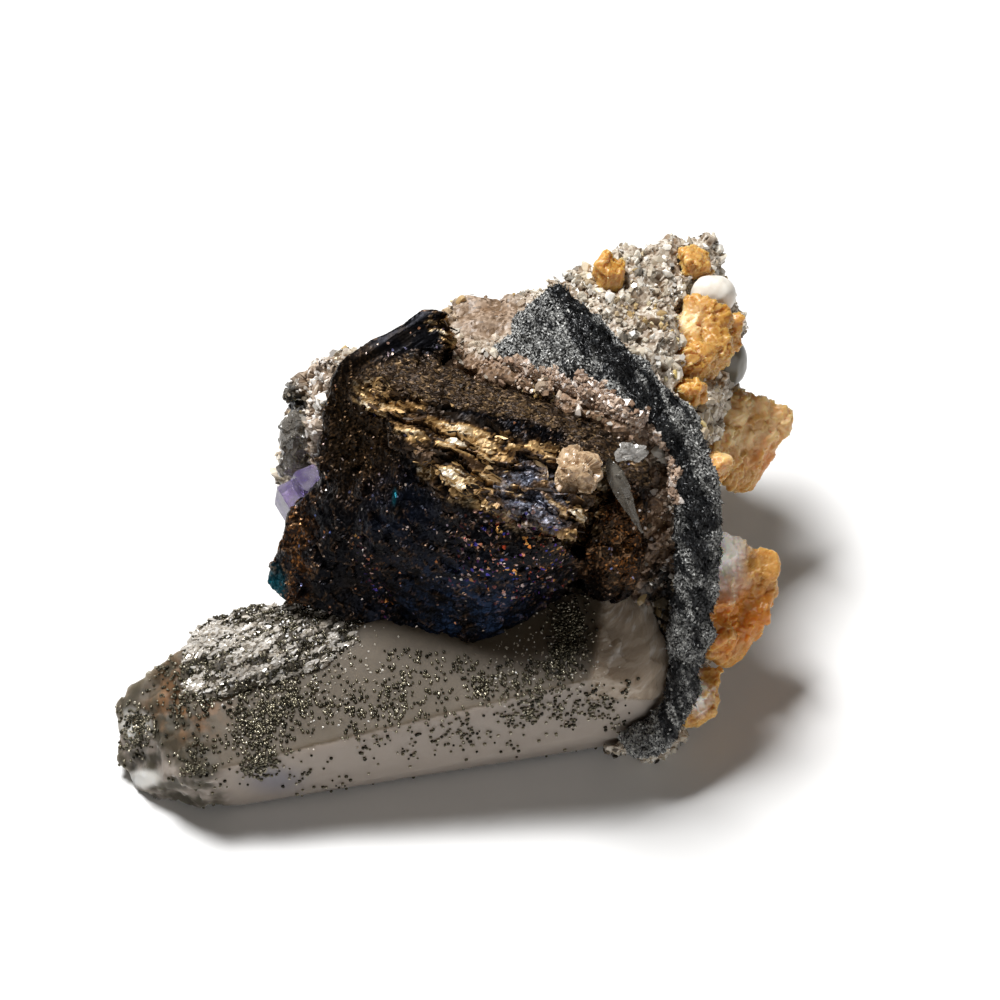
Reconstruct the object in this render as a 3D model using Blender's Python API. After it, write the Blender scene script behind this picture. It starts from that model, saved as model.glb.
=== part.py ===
"""A loose arsenopyrite specimen: tarnished, ledged arsenopyrite on a long quartz crystal and mica rock.

Every outline is laid out as the specimen is seen from its display side: millimetres across and up
from the middle of that view, and the height above the table. seen() turns such a triple into a
place in the specimen's own frame, which has +Z up and its origin on the table under its middle.
"""

import math
import random
from collections import namedtuple

import bmesh
import bpy
from mathutils import Matrix, Vector

SPECIMEN_WIDTH = 0.081
LAID_OUT_WIDTH = 81.0
MM = SPECIMEN_WIDTH / LAID_OUT_WIDTH

VIEW_ELEVATION = math.radians(50)
VIEW_DISTANCE = 450 * MM
VIEW_CENTRE = Vector((4.9, 6.9, 15.0)) * MM

# Neighbours keep this far apart where one is sunk in the other.
GAP = 0.7 * MM
SOCKET_VOXEL = 0.4
TABLE_SIZE = 200 * MM
UNDER_TABLE = -1.0

# How a grown skin is made: the net's spacing, how high its lumps stand and how far apart they are,
# in millimetres, and about how many triangles it keeps.
Skin = namedtuple("Skin", "voxel relief grain triangles")
QUARTZ_SKIN = Skin(0.4, 1.2, 2.6, 800)
FLUORITE_SKIN = Skin(0.25, 0, 0, 120)
HEAP_SKIN = Skin(0.4, 0.5, 1.8, 460)
FOOT_SKIN = Skin(0.4, 0.5, 1.8, 220)
KNOB_SKIN = Skin(0.3, 0, 0, 90)
CHUNK_SKIN = Skin(0.35, 0.9, 1.4, 160)
CRUST_SKIN = Skin(0.4, 0.7, 2.0, 360)
ARSENOPYRITE_SKIN = Skin(0.5, 0.8, 2.4, 2500)
SEAM_SKIN = Skin(0.5, 1.1, 2.2, 900)
ROCK_SKIN = Skin(0.7, 2.2, 5.5, 2400)

# How far a mass reaches down from its outline, in millimetres, and draws in on the way, as a share.
Drop = namedtuple("Drop", "depth inset")
QUARTZ_DROP = Drop(11, 0.12)
CRUST_DROP = Drop(4, 0.05)
BLOCK_DROP = Drop(16, 0.35)
LOBE_DROP = Drop(6, 0.25)
SIDE_DROP = Drop(6, 0.2)
BLADE_DROP = Drop(12, 0.15)
PATCH_DROP = Drop(3, 0.1)
HEAP_DROP = Drop(5, 0.35)

# The quartz prism: (across, up, height) of the corners that show, in millimetres.
QUARTZ_CORNERS = [
    (-35.4, -37.4, 0.3), (10.8, -28.4, 7.5), (16.3, -25.9, 8.5),
    (-36.5, -33.1, 9.5), (12.0, -21.4, 19.5), (16.9, -23.0, 16.0),
    (-34.8, -16.8, 14.0), (13.0, -10.6, 22.5), (18.0, -11.5, 20.0),
    (20.6, -18.6, 14.5), (20.0, -22.8, 11.0),
]
STUB_INSET = 0.35
QUARTZ_STUB = [
    (-46.2, -28.2, 5.0), (-45.8, -24.0, 8.0), (-44.4, -21.8, 10.0), (-41.2, -19.7, 12.0),
    (-37.8, -17.8, 13.5), (-34.8, -17.0, 14.0), (-44.6, -29.8, 3.0), (-45.0, -32.0, 1.5),
    (-44.3, -34.2, 0.5), (-40.2, -36.1, -0.3), (-35.4, -37.4, -0.3), (-36.5, -33.1, 9.5),
]
MICA_CRUST = [
    (-34.4, -14.2, 15.5), (-28.6, -11.8, 17.2), (-27.0, -12.2, 18.0), (-20.5, -12.4, 18.6),
    (-14.5, -13.8, 19.4), (-15.0, -16.4, 19.0), (-19.2, -18.6, 18.5), (-24.0, -19.6, 17.9),
    (-28.0, -17.4, 18.2), (-33.6, -22.8, 15.9), (-38.0, -21.8, 14.6), (-37.2, -18.6, 15.2),
    (-35.4, -16.6, 15.5),
]

# The arsenopyrite: its back block, the dark lobe in front, the low right side and the rear blade.
ARSENOPYRITE_BLOCK = [
    (-19.8, 16.6, 43.0), (-21.8, 12.0, 40.0), (-22.6, 3.6, 33.0), (-14.4, 19.0, 45.0),
    (-5.4, 15.6, 44.0), (7.2, 10.8, 42.5), (16.8, 7.2, 40.0), (18.6, 3.6, 37.0),
    (17.4, -3.6, 32.0), (14.4, -9.0, 27.0), (-12.0, 12.0, 43.0),
]
ARSENOPYRITE_LOBE = [
    (-26.0, -2.4, 27.0), (-28.0, -8.6, 21.0), (-28.0, -10.8, 19.5), (-25.8, -12.4, 19.5),
    (-20.4, -13.4, 20.5), (-10.8, -15.4, 21.0), (-3.6, -18.2, 21.5), (6.7, -12.6, 24.5),
    (10.8, -8.4, 30.0), (7.2, -4.8, 37.0), (-3.6, 1.2, 40.5), (-12.0, 8.4, 40.0),
    (-18.0, 4.8, 35.0), (-23.4, 1.0, 29.0),
]
ARSENOPYRITE_SIDE = [
    (10.8, -5.4, 34.0), (17.4, -3.6, 32.0), (16.8, -9.0, 28.0), (12.0, -10.6, 26.0),
    (9.6, -10.0, 27.0), (12.0, 0.0, 37.0), (18.0, 2.4, 36.0),
]
ARSENOPYRITE_BLADE = [
    (-20.0, 17.0, 44.0), (-8.2, 23.8, 48.0), (-6.8, 23.4, 48.0), (-5.0, 19.8, 46.0),
    (-7.2, 17.8, 45.0), (-18.6, 16.1, 43.0),
]
LOBE_DEPTH = 8 * MM

# The ledges step down from one line across the top to the head of the dark face.
LEDGES_TOP_LEFT = (-15.0, 13.6, 44.4)
LEDGES_TOP_RIGHT = (13.0, 2.8, 42.0)
LEDGES_LOW_LEFT = (-13.5, 7.0, 42.2)
LEDGES_LOW_RIGHT = (9.5, -4.6, 39.6)
LEDGE_COUNT = 4
LEDGE_DEPTH = 6 * MM
LEDGE_THICKNESS = 1.3 * MM

# The mica rock behind and below, in five overlapping masses.
ROCK_BACK = [
    (7.2, 26.2, 42.0), (9.0, 27.8, 42.5), (16.8, 29.8, 41.0), (21.0, 31.6, 39.0),
    (24.0, 32.0, 37.0), (25.8, 30.6, 35.6), (25.8, 28.6, 34.6), (28.6, 24.0, 29.0),
    (29.0, 13.8, 24.0), (24.0, 5.4, 30.0), (16.8, 13.2, 41.0), (18.6, 3.6, 34.0),
]
ROCK_RIGHT = [
    (18.6, 3.6, 34.0), (24.0, 2.4, 29.0), (24.6, -4.8, 23.0), (24.7, -13.2, 16.0),
    (24.0, -21.6, 9.0), (22.8, -27.0, 5.0), (18.0, -29.8, 5.0), (11.0, -29.0, 6.0),
    (12.0, -24.0, 8.0), (16.8, -10.8, 22.0),
]
ROCK_LEFT = [
    (-25.2, 14.4, 33.0), (-24.0, 15.6, 35.0), (-20.4, 16.6, 42.0), (-25.8, 8.4, 27.0),
    (-26.5, 2.4, 21.0), (-24.5, 0.0, 20.0), (-24.0, -7.2, 16.0), (-9.6, 20.4, 40.0),
]
ROCK_TOP = [
    (-5.2, 24.2, 41.0), (-2.0, 25.0, 42.0), (3.4, 24.6, 42.5), (7.2, 26.2, 42.0),
    (-12.0, 18.6, 43.0), (-3.6, 15.4, 43.0), (16.8, 7.2, 40.0), (16.8, 13.2, 42.0),
]
ROCK_CORE = [
    (-15.0, -11.5, -1.0), (-12.0, 0.0, -1.0), (20.0, -19.0, -1.0), (17.0, 1.0, -1.0),
    (21.0, -13.0, 16.0),
    (-20.0, -3.0, 16.0), (-22.0, 0.0, 22.0), (-20.0, 12.0, 24.0), (24.0, -2.0, 22.0),
    (24.0, 14.0, 26.0), (-18.0, 6.0, 12.0), (22.0, 7.0, 12.0),
]

# Each outline with the height its foot is let down to, and how far it draws in on the way.
ROCK_MASSES = [
    (ROCK_BACK, 9.0, 0.45), (ROCK_RIGHT, UNDER_TABLE, 0.3), (ROCK_LEFT, 12.0, 0.4),
    (ROCK_TOP, 10.0, 0.3),
]

# How far the rock under the seam lies from its crest: (sideways, back, down), in millimetres.
ROCK_UNDER_SEAM = [(0.0, 0.0, 1.6), (-7.0, 1.0, 7.0), (0.0, 2.0, 10.0), (-9.0, 6.0, 18.0)]

# The black seam: the line of its crest, and the broad patch where it spreads at the top.
SEAM_CREST = [
    (3.0, 19.8, 44.0), (6.7, 24.0, 45.5), (12.0, 18.6, 44.0), (18.0, 12.6, 41.0),
    (22.2, 7.2, 37.0), (23.4, 0.0, 32.0), (23.6, -7.2, 26.5), (23.2, -13.4, 21.0),
    (22.0, -21.6, 13.0), (19.4, -27.4, 8.0), (15.0, -29.4, 6.0),
]
SEAM_HALF_WIDTH = 2.9 * MM
SEAM_HALF_HEIGHT = 1.7 * MM
SEAM_PATCH = [
    (-1.6, 18.2, 43.5), (3.0, 20.5, 45.0), (6.7, 24.0, 46.0), (16.0, 14.6, 43.5),
    (17.6, 9.6, 42.0), (10.8, 16.2, 43.0), (1.0, 17.4, 43.0),
]

# The calcite: three large stepped heaps and one at the foot.
CALCITE_HEAPS = {
    "orange_calcite_upper": [
        (20.2, 18.6, 36.0), (21.0, 21.4, 37.0), (22.8, 24.0, 37.5), (24.2, 24.0, 37.0),
        (25.7, 22.2, 36.0), (28.2, 20.8, 33.0), (28.9, 19.4, 31.0), (26.6, 16.6, 33.0),
        (24.0, 14.6, 34.0), (21.7, 15.4, 35.0),
    ],
    "orange_calcite_middle": [
        (25.6, 6.6, 24.0), (26.4, 11.8, 25.0), (27.8, 13.7, 25.0), (30.7, 12.6, 24.0),
        (34.6, 10.6, 21.0), (34.8, 9.6, 20.0), (33.4, 6.5, 18.0), (30.6, 2.6, 16.0),
        (27.4, 1.2, 17.0), (25.9, 3.6, 21.0),
    ],
    "orange_calcite_lower": [
        (24.7, -7.2, 21.0), (25.4, -3.6, 23.0), (28.2, -3.4, 21.0), (32.4, -6.7, 17.0),
        (33.4, -9.6, 14.0), (33.0, -12.2, 12.0), (31.7, -15.2, 10.0), (29.0, -18.6, 9.0),
        (26.4, -20.0, 10.0), (24.5, -18.0, 13.0), (24.2, -12.0, 18.0),
    ],
    "pale_calcite_foot": [
        (22.6, -22.8, 9.5), (23.6, -20.6, 10.5), (25.2, -21.0, 9.5), (25.2, -23.6, 7.5),
        (24.0, -25.6, 6.0), (22.6, -25.6, 6.5),
    ],
}
# The blocks of a heap: side and rise in millimetres, how far out towards the outline they stand as
# a share, and how far they turn and lean in radians.
BLOCK_SIDES = (2.2, 3.6)
BLOCK_RISE = (-0.8, 0.6)
BLOCK_OUT = (0.45, 0.8)
BLOCK_TURN = 0.5
BLOCK_TILT = 0.6
CALCITE_LEAN = 0.25

# Small calcite knobs: middle (across, up, height) and radius, in millimetres. Two blocks make one,
# with sides of so many radii, the second set off from the first by a step.
KNOB_SIDES = (1.5, 1.4)
KNOB_STEP = (0.4, 0.3, 0.2)
CALCITE_KNOBS = [
    ((13.4, 27.2, 42.6), 1.9),
    ((23.4, 28.4, 37.4), 2.2),
    ((22.6, 13.0, 34.0), 1.9),
    ((25.2, 3.4, 27.4), 2.1),
]

WHITE_DISC = (25.6, 24.6, 36.6)
DISC_RADII = (2.9, 2.4, 2.9)
GREY_BALL = (26.9, 16.6, 26.0)
BALL_RADII = (3.0, 3.2, 4.2)

FLUORITE_CENTRE = (-24.1, -0.2, 24.6)
FLUORITE_SIDE = 4.2
FLUORITE_TURN = (0.25, 0.55)
FLUORITE_STEP = (1.2, 0.8, 2.4)
SECOND_CUBE = 0.7

# Small quartz crystals: base, tip (across, up, height), radius in millimetres, and flatness.
SIDE_QUARTZ = ((-24.9, 3.4, 25.0), (-24.6, 11.0, 34.0), 1.7, 1.0)
SPLINTER = ((17.0, -4.0, 34.6), (12.4, 6.0, 41.4), 1.25, 0.5)
CHIP = ((13.9, 5.6, 41.6), (17.8, 5.6, 40.4), 1.0, 0.6)

CHUNK_CENTRE = (9.2, 3.4, 41.6)
CHUNK_RADIUS = 2.5 * MM


def finish(name, colour, roughness, metallic=0.0):
    """A Principled BSDF material of one linear colour."""
    material = bpy.data.materials.new(name)
    material.use_nodes = True
    shader = material.node_tree.nodes["Principled BSDF"]
    shader.inputs["Base Color"].default_value = (*colour, 1.0)
    shader.inputs["Roughness"].default_value = roughness
    shader.inputs["Metallic"].default_value = metallic
    return material


def seen(across, up, height):
    """The place at that height on the line of sight through a point of the display view."""
    sine, cosine = math.sin(VIEW_ELEVATION), math.cos(VIEW_ELEVATION)
    eye = VIEW_CENTRE + Vector((0, -cosine, sine)) * VIEW_DISTANCE
    target = VIEW_CENTRE + (Vector((1, 0, 0)) * across + Vector((0, sine, cosine)) * up) * MM
    ray = target - eye
    return eye + ray * ((height * MM - eye.z) / ray.z)


def places(corners):
    return [seen(*corner) for corner in corners]


def middle(points):
    return sum(points, Vector()) / len(points)


def lowered(points, drop):
    """The same points let down by a drop's depth and drawn in towards their middle."""
    centre = middle(points)
    return [point.lerp(centre, drop.inset) - Vector((0, 0, drop.depth * MM)) for point in points]


def let_down(points, height, inset):
    """The same points let down to one height, drawn towards their middle by a share."""
    centre = middle(points)
    flat = [point.lerp(centre, inset) for point in points]
    return [Vector((point.x, point.y, height * MM)) for point in flat]


def rhomb(centre, side, turn, lean=CALCITE_LEAN):
    """The corners of a block: upright where lean is 0, and leaning as calcite does otherwise."""
    corners = []
    for x in (-0.5, 0.5):
        for y in (-0.5, 0.5):
            for z in (-0.5, 0.5):
                corner = Vector((x + lean * z, y + lean * z, z)) * side
                corner.rotate(turn)
                corners.append(centre + corner)
    return corners


def pointed_crystal(base, tip, radius, flat=1.0, shoulder=0.7):
    """A six-sided crystal from base to tip: a ring at the base, one at the shoulder, and the point."""
    axis = tip - base
    side = axis.cross(Vector((0, -1, 1))).normalized()
    front = axis.cross(side).normalized()
    points = [tip]
    for share in (0.0, shoulder):
        for step in range(6):
            angle = math.tau * (step + 0.5) / 6
            spoke = side * math.cos(angle) + front * math.sin(angle) * flat
            points.append(base + axis * share + spoke * radius)
    return points


def bulb(centre, radii, rings=8, turns=14):
    """Points on an ellipsoid, in rings from pole to pole."""
    points = [centre + Vector((0, 0, radii[2])), centre - Vector((0, 0, radii[2]))]
    for ring in range(1, rings):
        fall = math.pi * ring / rings
        for turn in range(turns):
            way = math.tau * turn / turns
            reach = math.sin(fall)
            spoke = (reach * math.cos(way), reach * math.sin(way), math.cos(fall))
            points.append(centre + Vector([r * s for r, s in zip(radii, spoke)]))
    return points


def hull_mesh(points):
    """The convex hull of some points, as a bmesh."""
    hull = bmesh.new()
    for point in points:
        hull.verts.new(point)
    made = bmesh.ops.convex_hull(hull, input=hull.verts)
    spare = set(made["geom_interior"]) | set(made["geom_unused"])
    bmesh.ops.delete(hull, geom=[item for item in spare if isinstance(item, bmesh.types.BMVert)])
    bmesh.ops.recalc_face_normals(hull, faces=hull.faces)
    return hull


def largest_island(whole):
    """Keeps the largest connected body of a bmesh and deletes the loose crumbs."""
    whole.verts.ensure_lookup_table()
    seen_already = set()
    islands = []
    for start in whole.verts:
        if start in seen_already:
            continue
        seen_already.add(start)
        island = [start]
        for vertex in island:
            for edge in vertex.link_edges:
                other = edge.other_vert(vertex)
                if other not in seen_already:
                    seen_already.add(other)
                    island.append(other)
        islands.append(island)
    islands.sort(key=len)
    bmesh.ops.delete(whole, geom=[vertex for island in islands[:-1] for vertex in island])


def mesh_object(name, whole, material):
    """An object that takes over a bmesh."""
    mesh = bpy.data.meshes.new(name)
    whole.to_mesh(mesh)
    whole.free()
    mesh.materials.append(material)
    obj = bpy.data.objects.new(name, mesh)
    bpy.context.scene.collection.objects.link(obj)
    return obj


def flat_faced(name, hulls, material):
    """An object that holds the convex hull of each list of points, closed but not yet joined."""
    whole = bmesh.new()
    for points in hulls:
        hull = hull_mesh(points)
        shape = bpy.data.meshes.new("shape")
        hull.to_mesh(shape)
        hull.free()
        whole.from_mesh(shape)
        bpy.data.meshes.remove(shape)
    return mesh_object(name, whole, material)


def melt(obj, voxel):
    """Melts overlapping shapes into one closed surface with an even net."""
    remesh = obj.modifiers.new("one_skin", "REMESH")
    remesh.mode = "VOXEL"
    remesh.voxel_size = voxel * MM


def grown(obj, skin):
    """The shapes in one skin, pushed in and out over lumps of one size where it has relief."""
    melt(obj, skin.voxel)
    if skin.relief:
        lumps = obj.modifiers.new("lumps", "DISPLACE")
        lumps.texture = bpy.data.textures.new("lumps", "CLOUDS")
        lumps.texture.noise_scale = skin.grain * MM
        lumps.strength = skin.relief * MM
        melt(obj, skin.voxel)
    return applied(obj)


def applied(obj):
    """The object with its modifiers applied."""
    bpy.context.view_layer.update()
    evaluated = obj.evaluated_get(bpy.context.evaluated_depsgraph_get())
    mesh = bpy.data.meshes.new_from_object(evaluated)
    obj.modifiers.clear()
    obj.data = mesh
    return obj


def box(obj):
    """The lowest and the highest corner of an applied object."""
    corners = [vertex.co for vertex in obj.data.vertices]
    low = [min(corner[axis] for corner in corners) for axis in range(3)]
    high = [max(corner[axis] for corner in corners) for axis in range(3)]
    return low, high


def touching(first, second):
    """Whether the boxes of two applied objects come within the gap of each other."""
    (low, high), (other_low, other_high) = box(first), box(second)
    return all(
        low[axis] - GAP < other_high[axis] and other_low[axis] - GAP < high[axis]
        for axis in range(3)
    )


def hidden(obj):
    obj.hide_render = True
    obj.display_type = "WIRE"
    return obj


def combine(obj, operation, other):
    """Adds a Boolean with another object."""
    boolean = obj.modifiers.new(operation.lower(), "BOOLEAN")
    boolean.operation = operation
    boolean.object = other


def swollen(name, neighbours):
    """One hidden object of all the neighbours, each grown by the gap, in one clean skin."""
    whole = bmesh.new()
    for neighbour in neighbours:
        whole.from_mesh(neighbour.data)
    cutter = mesh_object(name + "_socket", whole, neighbours[0].data.materials[0])
    swell = cutter.modifiers.new("swell", "DISPLACE")
    swell.mid_level = 0.0
    swell.strength = GAP
    melt(cutter, SOCKET_VOXEL)
    return hidden(applied(cutter))


def settled(obj, skin, standing, table=None):
    """Cuts the standing pieces and the table out of a grown skin, cleans it and thins it."""
    near = [piece for piece in standing if touching(obj, piece)]
    if near:
        combine(obj, "DIFFERENCE", swollen(obj.name, near))
    if table:
        combine(obj, "DIFFERENCE", table)
    melt(obj, skin.voxel)
    applied(obj)
    whole = bmesh.new()
    whole.from_mesh(obj.data)
    largest_island(whole)
    whole.to_mesh(obj.data)
    count = sum(len(face.verts) - 2 for face in whole.faces)
    whole.free()
    thin = obj.modifiers.new("thin", "DECIMATE")
    thin.ratio = min(1.0, skin.triangles / count)
    return applied(obj)


def table_top():
    """The space under the table, which cuts a flat foot on what stands there."""
    half = TABLE_SIZE / 2
    corners = [Vector((x, y, z)) for x in (-half, half) for y in (-half, half) for z in (-half, 0)]
    return hidden(flat_faced("table_cut", [corners], finish("table", (1, 1, 1), 0.5)))


def quartz_crystal(material):
    """The long prism with its broken right end, and the rough stub grown on its left."""
    corners = places(QUARTZ_CORNERS)
    prism = [corners + lowered(corners[6:], QUARTZ_DROP)]
    quartz = flat_faced("quartz_crystal", prism, material)
    stub_points = places(QUARTZ_STUB)
    foot = let_down(stub_points, UNDER_TABLE, STUB_INSET)
    stub = flat_faced("quartz_stub", [stub_points + foot], material)
    combine(quartz, "UNION", hidden(grown(stub, QUARTZ_SKIN)))
    return applied(quartz)


def mica_crust(material):
    """The flaky white crust along the quartz's back edge."""
    points = places(MICA_CRUST)
    crust = flat_faced("mica_crust", [points + lowered(points, CRUST_DROP)], material)
    return grown(crust, CRUST_SKIN)


def ledge(share):
    """One slab of the staircase that steps down from the top band, at a share of the way down."""
    left = seen(*LEDGES_TOP_LEFT).lerp(seen(*LEDGES_LOW_LEFT), share)
    right = seen(*LEDGES_TOP_RIGHT).lerp(seen(*LEDGES_LOW_RIGHT), share)
    back = Vector((0, LEDGE_DEPTH, 0))
    rim = [left, right, left + back, right + back]
    return rim + [point - Vector((0, 0, LEDGE_THICKNESS)) for point in rim]


def arsenopyrite(material):
    """Block, lobe, side and blade grown together, with ledges stepping down the front."""
    block = places(ARSENOPYRITE_BLOCK)
    lobe = places(ARSENOPYRITE_LOBE)
    side = places(ARSENOPYRITE_SIDE)
    blade = places(ARSENOPYRITE_BLADE)
    behind = [place + Vector((0, LOBE_DEPTH, 0)) for place in lobe]
    hulls = [
        block + lowered(block, BLOCK_DROP),
        lobe + lowered(behind, LOBE_DROP),
        side + lowered(side, SIDE_DROP),
        blade + lowered(blade, BLADE_DROP),
    ]
    hulls += [ledge(step / (LEDGE_COUNT - 1)) for step in range(LEDGE_COUNT)]
    return grown(flat_faced("arsenopyrite", hulls, material), ARSENOPYRITE_SKIN)


def mica_rock(material):
    """The rock that carries the crystals, rough all over, with its foot on the table."""
    hulls = [places(ROCK_CORE)]
    for outline, foot, inset in ROCK_MASSES:
        points = places(outline)
        hulls.append(points + let_down(points, foot, inset))
    under = [Vector((x, y, -z)) * MM for x, y, z in ROCK_UNDER_SEAM]
    crest = places(SEAM_CREST[:-2])
    for near, far in zip(crest, crest[1:]):
        hulls.append([end + shift for end in (near, far) for shift in under])
    return grown(flat_faced("mica_rock", hulls, material), ROCK_SKIN)


def black_seam(material):
    """A low ridge of matted black needles along the seam's crest, spreading at its top."""
    crest = places(SEAM_CREST)
    rings = []
    for index, place in enumerate(crest):
        ahead = crest[min(index + 1, len(crest) - 1)] - crest[max(index - 1, 0)]
        across = ahead.cross(Vector((0, 0, 1))).normalized() * SEAM_HALF_WIDTH
        over = across.cross(ahead).normalized() * SEAM_HALF_HEIGHT
        rings.append([place + over, place - over, place + across, place - across])
    patch = places(SEAM_PATCH)
    hulls = [near + far for near, far in zip(rings, rings[1:])]
    hulls.append(patch + lowered(patch, PATCH_DROP))
    return grown(flat_faced("black_needle_seam", hulls, material), SEAM_SKIN)


def calcite_heap(name, outline, skin, material, seed):
    """A heap of stepped calcite blocks inside an outline, sunk into the rock behind it."""
    dice = random.Random(seed)
    points = places(outline)
    centre = middle(points)
    hulls = [points + lowered(points, HEAP_DROP)]
    for point in points:
        around = Matrix.Rotation(dice.uniform(-BLOCK_TURN, BLOCK_TURN), 3, "Z")
        turn = around @ Matrix.Rotation(BLOCK_TILT, 3, "X")
        shift = Vector((0, 0, dice.uniform(*BLOCK_RISE))) * MM
        spot = centre.lerp(point, dice.uniform(*BLOCK_OUT)) + shift
        hulls.append(rhomb(spot, dice.uniform(*BLOCK_SIDES) * MM, turn))
    return grown(flat_faced(name, hulls, material), skin)


def calcite_knob(number, place, radius, material):
    """A small leaning block of calcite with a second one across it."""
    centre = seen(*place)
    turn = Matrix.Rotation(0.5 + number, 3, "Z") @ Matrix.Rotation(0.5, 3, "X")
    other = Matrix.Rotation(1.4 + number, 3, "Z") @ Matrix.Rotation(-0.4, 3, "Y")
    first, second = (share * radius * MM for share in KNOB_SIDES)
    hulls = [
        rhomb(centre, first, turn),
        rhomb(centre + other @ Vector(KNOB_STEP) * MM, second, other),
    ]
    return grown(flat_faced(f"calcite_knob_{number}", hulls, material), KNOB_SKIN)


def fluorite_cubes(material):
    """Two cubes grown through each other."""
    centre = seen(*FLUORITE_CENTRE)
    turn = Matrix.Rotation(FLUORITE_TURN[1], 3, "Z") @ Matrix.Rotation(FLUORITE_TURN[0], 3, "X")
    hulls = [
        rhomb(centre, FLUORITE_SIDE * MM, turn, 0.0),
        rhomb(centre + Vector(FLUORITE_STEP) * MM, SECOND_CUBE * FLUORITE_SIDE * MM, turn, 0.0),
    ]
    return grown(flat_faced("fluorite", hulls, material), FLUORITE_SKIN)


def small_quartz(name, base, tip, radius, flatness, material):
    """A small six-sided quartz crystal, whole as it grew."""
    points = pointed_crystal(seen(*base), seen(*tip), radius * MM, flatness)
    return flat_faced(name, [points], material)


def calcite_ball(name, place, radii, material):
    """A smooth rounded calcite growth."""
    ball = flat_faced(name, [bulb(seen(*place), [radius * MM for radius in radii])], material)
    ball.data.shade_smooth()
    return ball


def mica_chunk(material):
    """A pinkish lump of mica on the arsenopyrite."""
    lump = bulb(seen(*CHUNK_CENTRE), [CHUNK_RADIUS] * 3)
    return grown(flat_faced("pink_mica_chunk", [lump], material), CHUNK_SKIN)


def build():
    for obj in list(bpy.data.objects):
        bpy.data.objects.remove(obj)

    smoky = finish("smoky_quartz", (0.42, 0.38, 0.35), 0.15)
    white_mica = finish("white_mica", (0.55, 0.54, 0.50), 0.45)
    tarnished = finish("tarnished_arsenopyrite", (0.030, 0.026, 0.030), 0.35, 0.9)
    rock = finish("mica_rock", (0.36, 0.31, 0.26), 0.6)
    needles = finish("black_needles", (0.035, 0.037, 0.040), 0.5)
    orange = finish("orange_calcite", (0.66, 0.36, 0.10), 0.45)
    pale = finish("pale_calcite", (0.62, 0.55, 0.38), 0.45)
    white = finish("white_calcite", (0.75, 0.72, 0.66), 0.35)
    purple = finish("purple_fluorite", (0.25, 0.16, 0.42), 0.12)
    pink = finish("pink_mica", (0.52, 0.38, 0.30), 0.5)
    table = table_top()

    # Each piece is cut back by those before it, which keep their whole shape.
    standing = [
        small_quartz("side_quartz", *SIDE_QUARTZ, smoky),
        small_quartz("quartz_splinter", *SPLINTER, smoky),
        small_quartz("quartz_chip", *CHIP, smoky),
        calcite_ball("white_calcite_disc", WHITE_DISC, DISC_RADII, white),
        calcite_ball("grey_calcite_ball", GREY_BALL, BALL_RADII, white),
    ]
    standing.append(settled(quartz_crystal(smoky), QUARTZ_SKIN, [], table))
    standing.append(settled(fluorite_cubes(purple), FLUORITE_SKIN, standing))
    for seed, (name, outline) in enumerate(CALCITE_HEAPS.items()):
        skin, colour = (FOOT_SKIN, pale) if name.startswith("pale") else (HEAP_SKIN, orange)
        heap = calcite_heap(name, outline, skin, colour, seed)
        standing.append(settled(heap, skin, standing))
    for number, (place, radius) in enumerate(CALCITE_KNOBS, 1):
        knob = calcite_knob(number, place, radius, orange)
        standing.append(settled(knob, KNOB_SKIN, standing))
    standing.append(settled(mica_chunk(pink), CHUNK_SKIN, standing))
    standing.append(settled(mica_crust(white_mica), CRUST_SKIN, standing))
    standing.append(settled(arsenopyrite(tarnished), ARSENOPYRITE_SKIN, standing))
    standing.append(settled(black_seam(needles), SEAM_SKIN, standing))
    settled(mica_rock(rock), ROCK_SKIN, standing, table)


build()
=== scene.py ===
import math
from collections import namedtuple

import bmesh
import bpy
import numpy as np
from mathutils import Matrix, Vector
from mathutils.bvhtree import BVHTree


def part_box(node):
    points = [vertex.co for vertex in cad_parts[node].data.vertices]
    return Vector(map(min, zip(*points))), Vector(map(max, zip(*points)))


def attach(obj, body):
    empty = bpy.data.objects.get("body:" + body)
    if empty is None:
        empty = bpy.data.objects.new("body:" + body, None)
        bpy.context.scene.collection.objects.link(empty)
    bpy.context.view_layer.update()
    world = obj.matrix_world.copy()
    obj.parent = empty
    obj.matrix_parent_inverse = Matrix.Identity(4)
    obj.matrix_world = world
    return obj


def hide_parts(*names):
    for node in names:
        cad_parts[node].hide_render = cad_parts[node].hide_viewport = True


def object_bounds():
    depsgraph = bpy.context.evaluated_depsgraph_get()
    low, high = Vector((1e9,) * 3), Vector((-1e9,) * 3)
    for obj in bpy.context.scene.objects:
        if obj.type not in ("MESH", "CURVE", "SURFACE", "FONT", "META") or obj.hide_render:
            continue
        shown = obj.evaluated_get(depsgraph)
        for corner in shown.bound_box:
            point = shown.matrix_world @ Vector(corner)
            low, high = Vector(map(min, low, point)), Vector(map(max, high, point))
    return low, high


# The looks of a loose arsenopyrite specimen. Shapes are worked out in millimetres and become metres
# in piece(). A place "as seen" is millimetres across and up from the middle of the display view. The
# whole number that each noise and each strewn piece takes only makes its chances its own.
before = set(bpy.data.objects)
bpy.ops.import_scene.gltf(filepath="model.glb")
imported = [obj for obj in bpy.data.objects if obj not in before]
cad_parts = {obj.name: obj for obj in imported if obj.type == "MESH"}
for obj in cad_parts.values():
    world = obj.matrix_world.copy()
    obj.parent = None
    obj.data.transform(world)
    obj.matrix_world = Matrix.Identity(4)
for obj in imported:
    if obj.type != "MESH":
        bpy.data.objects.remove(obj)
cad_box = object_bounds()

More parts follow.
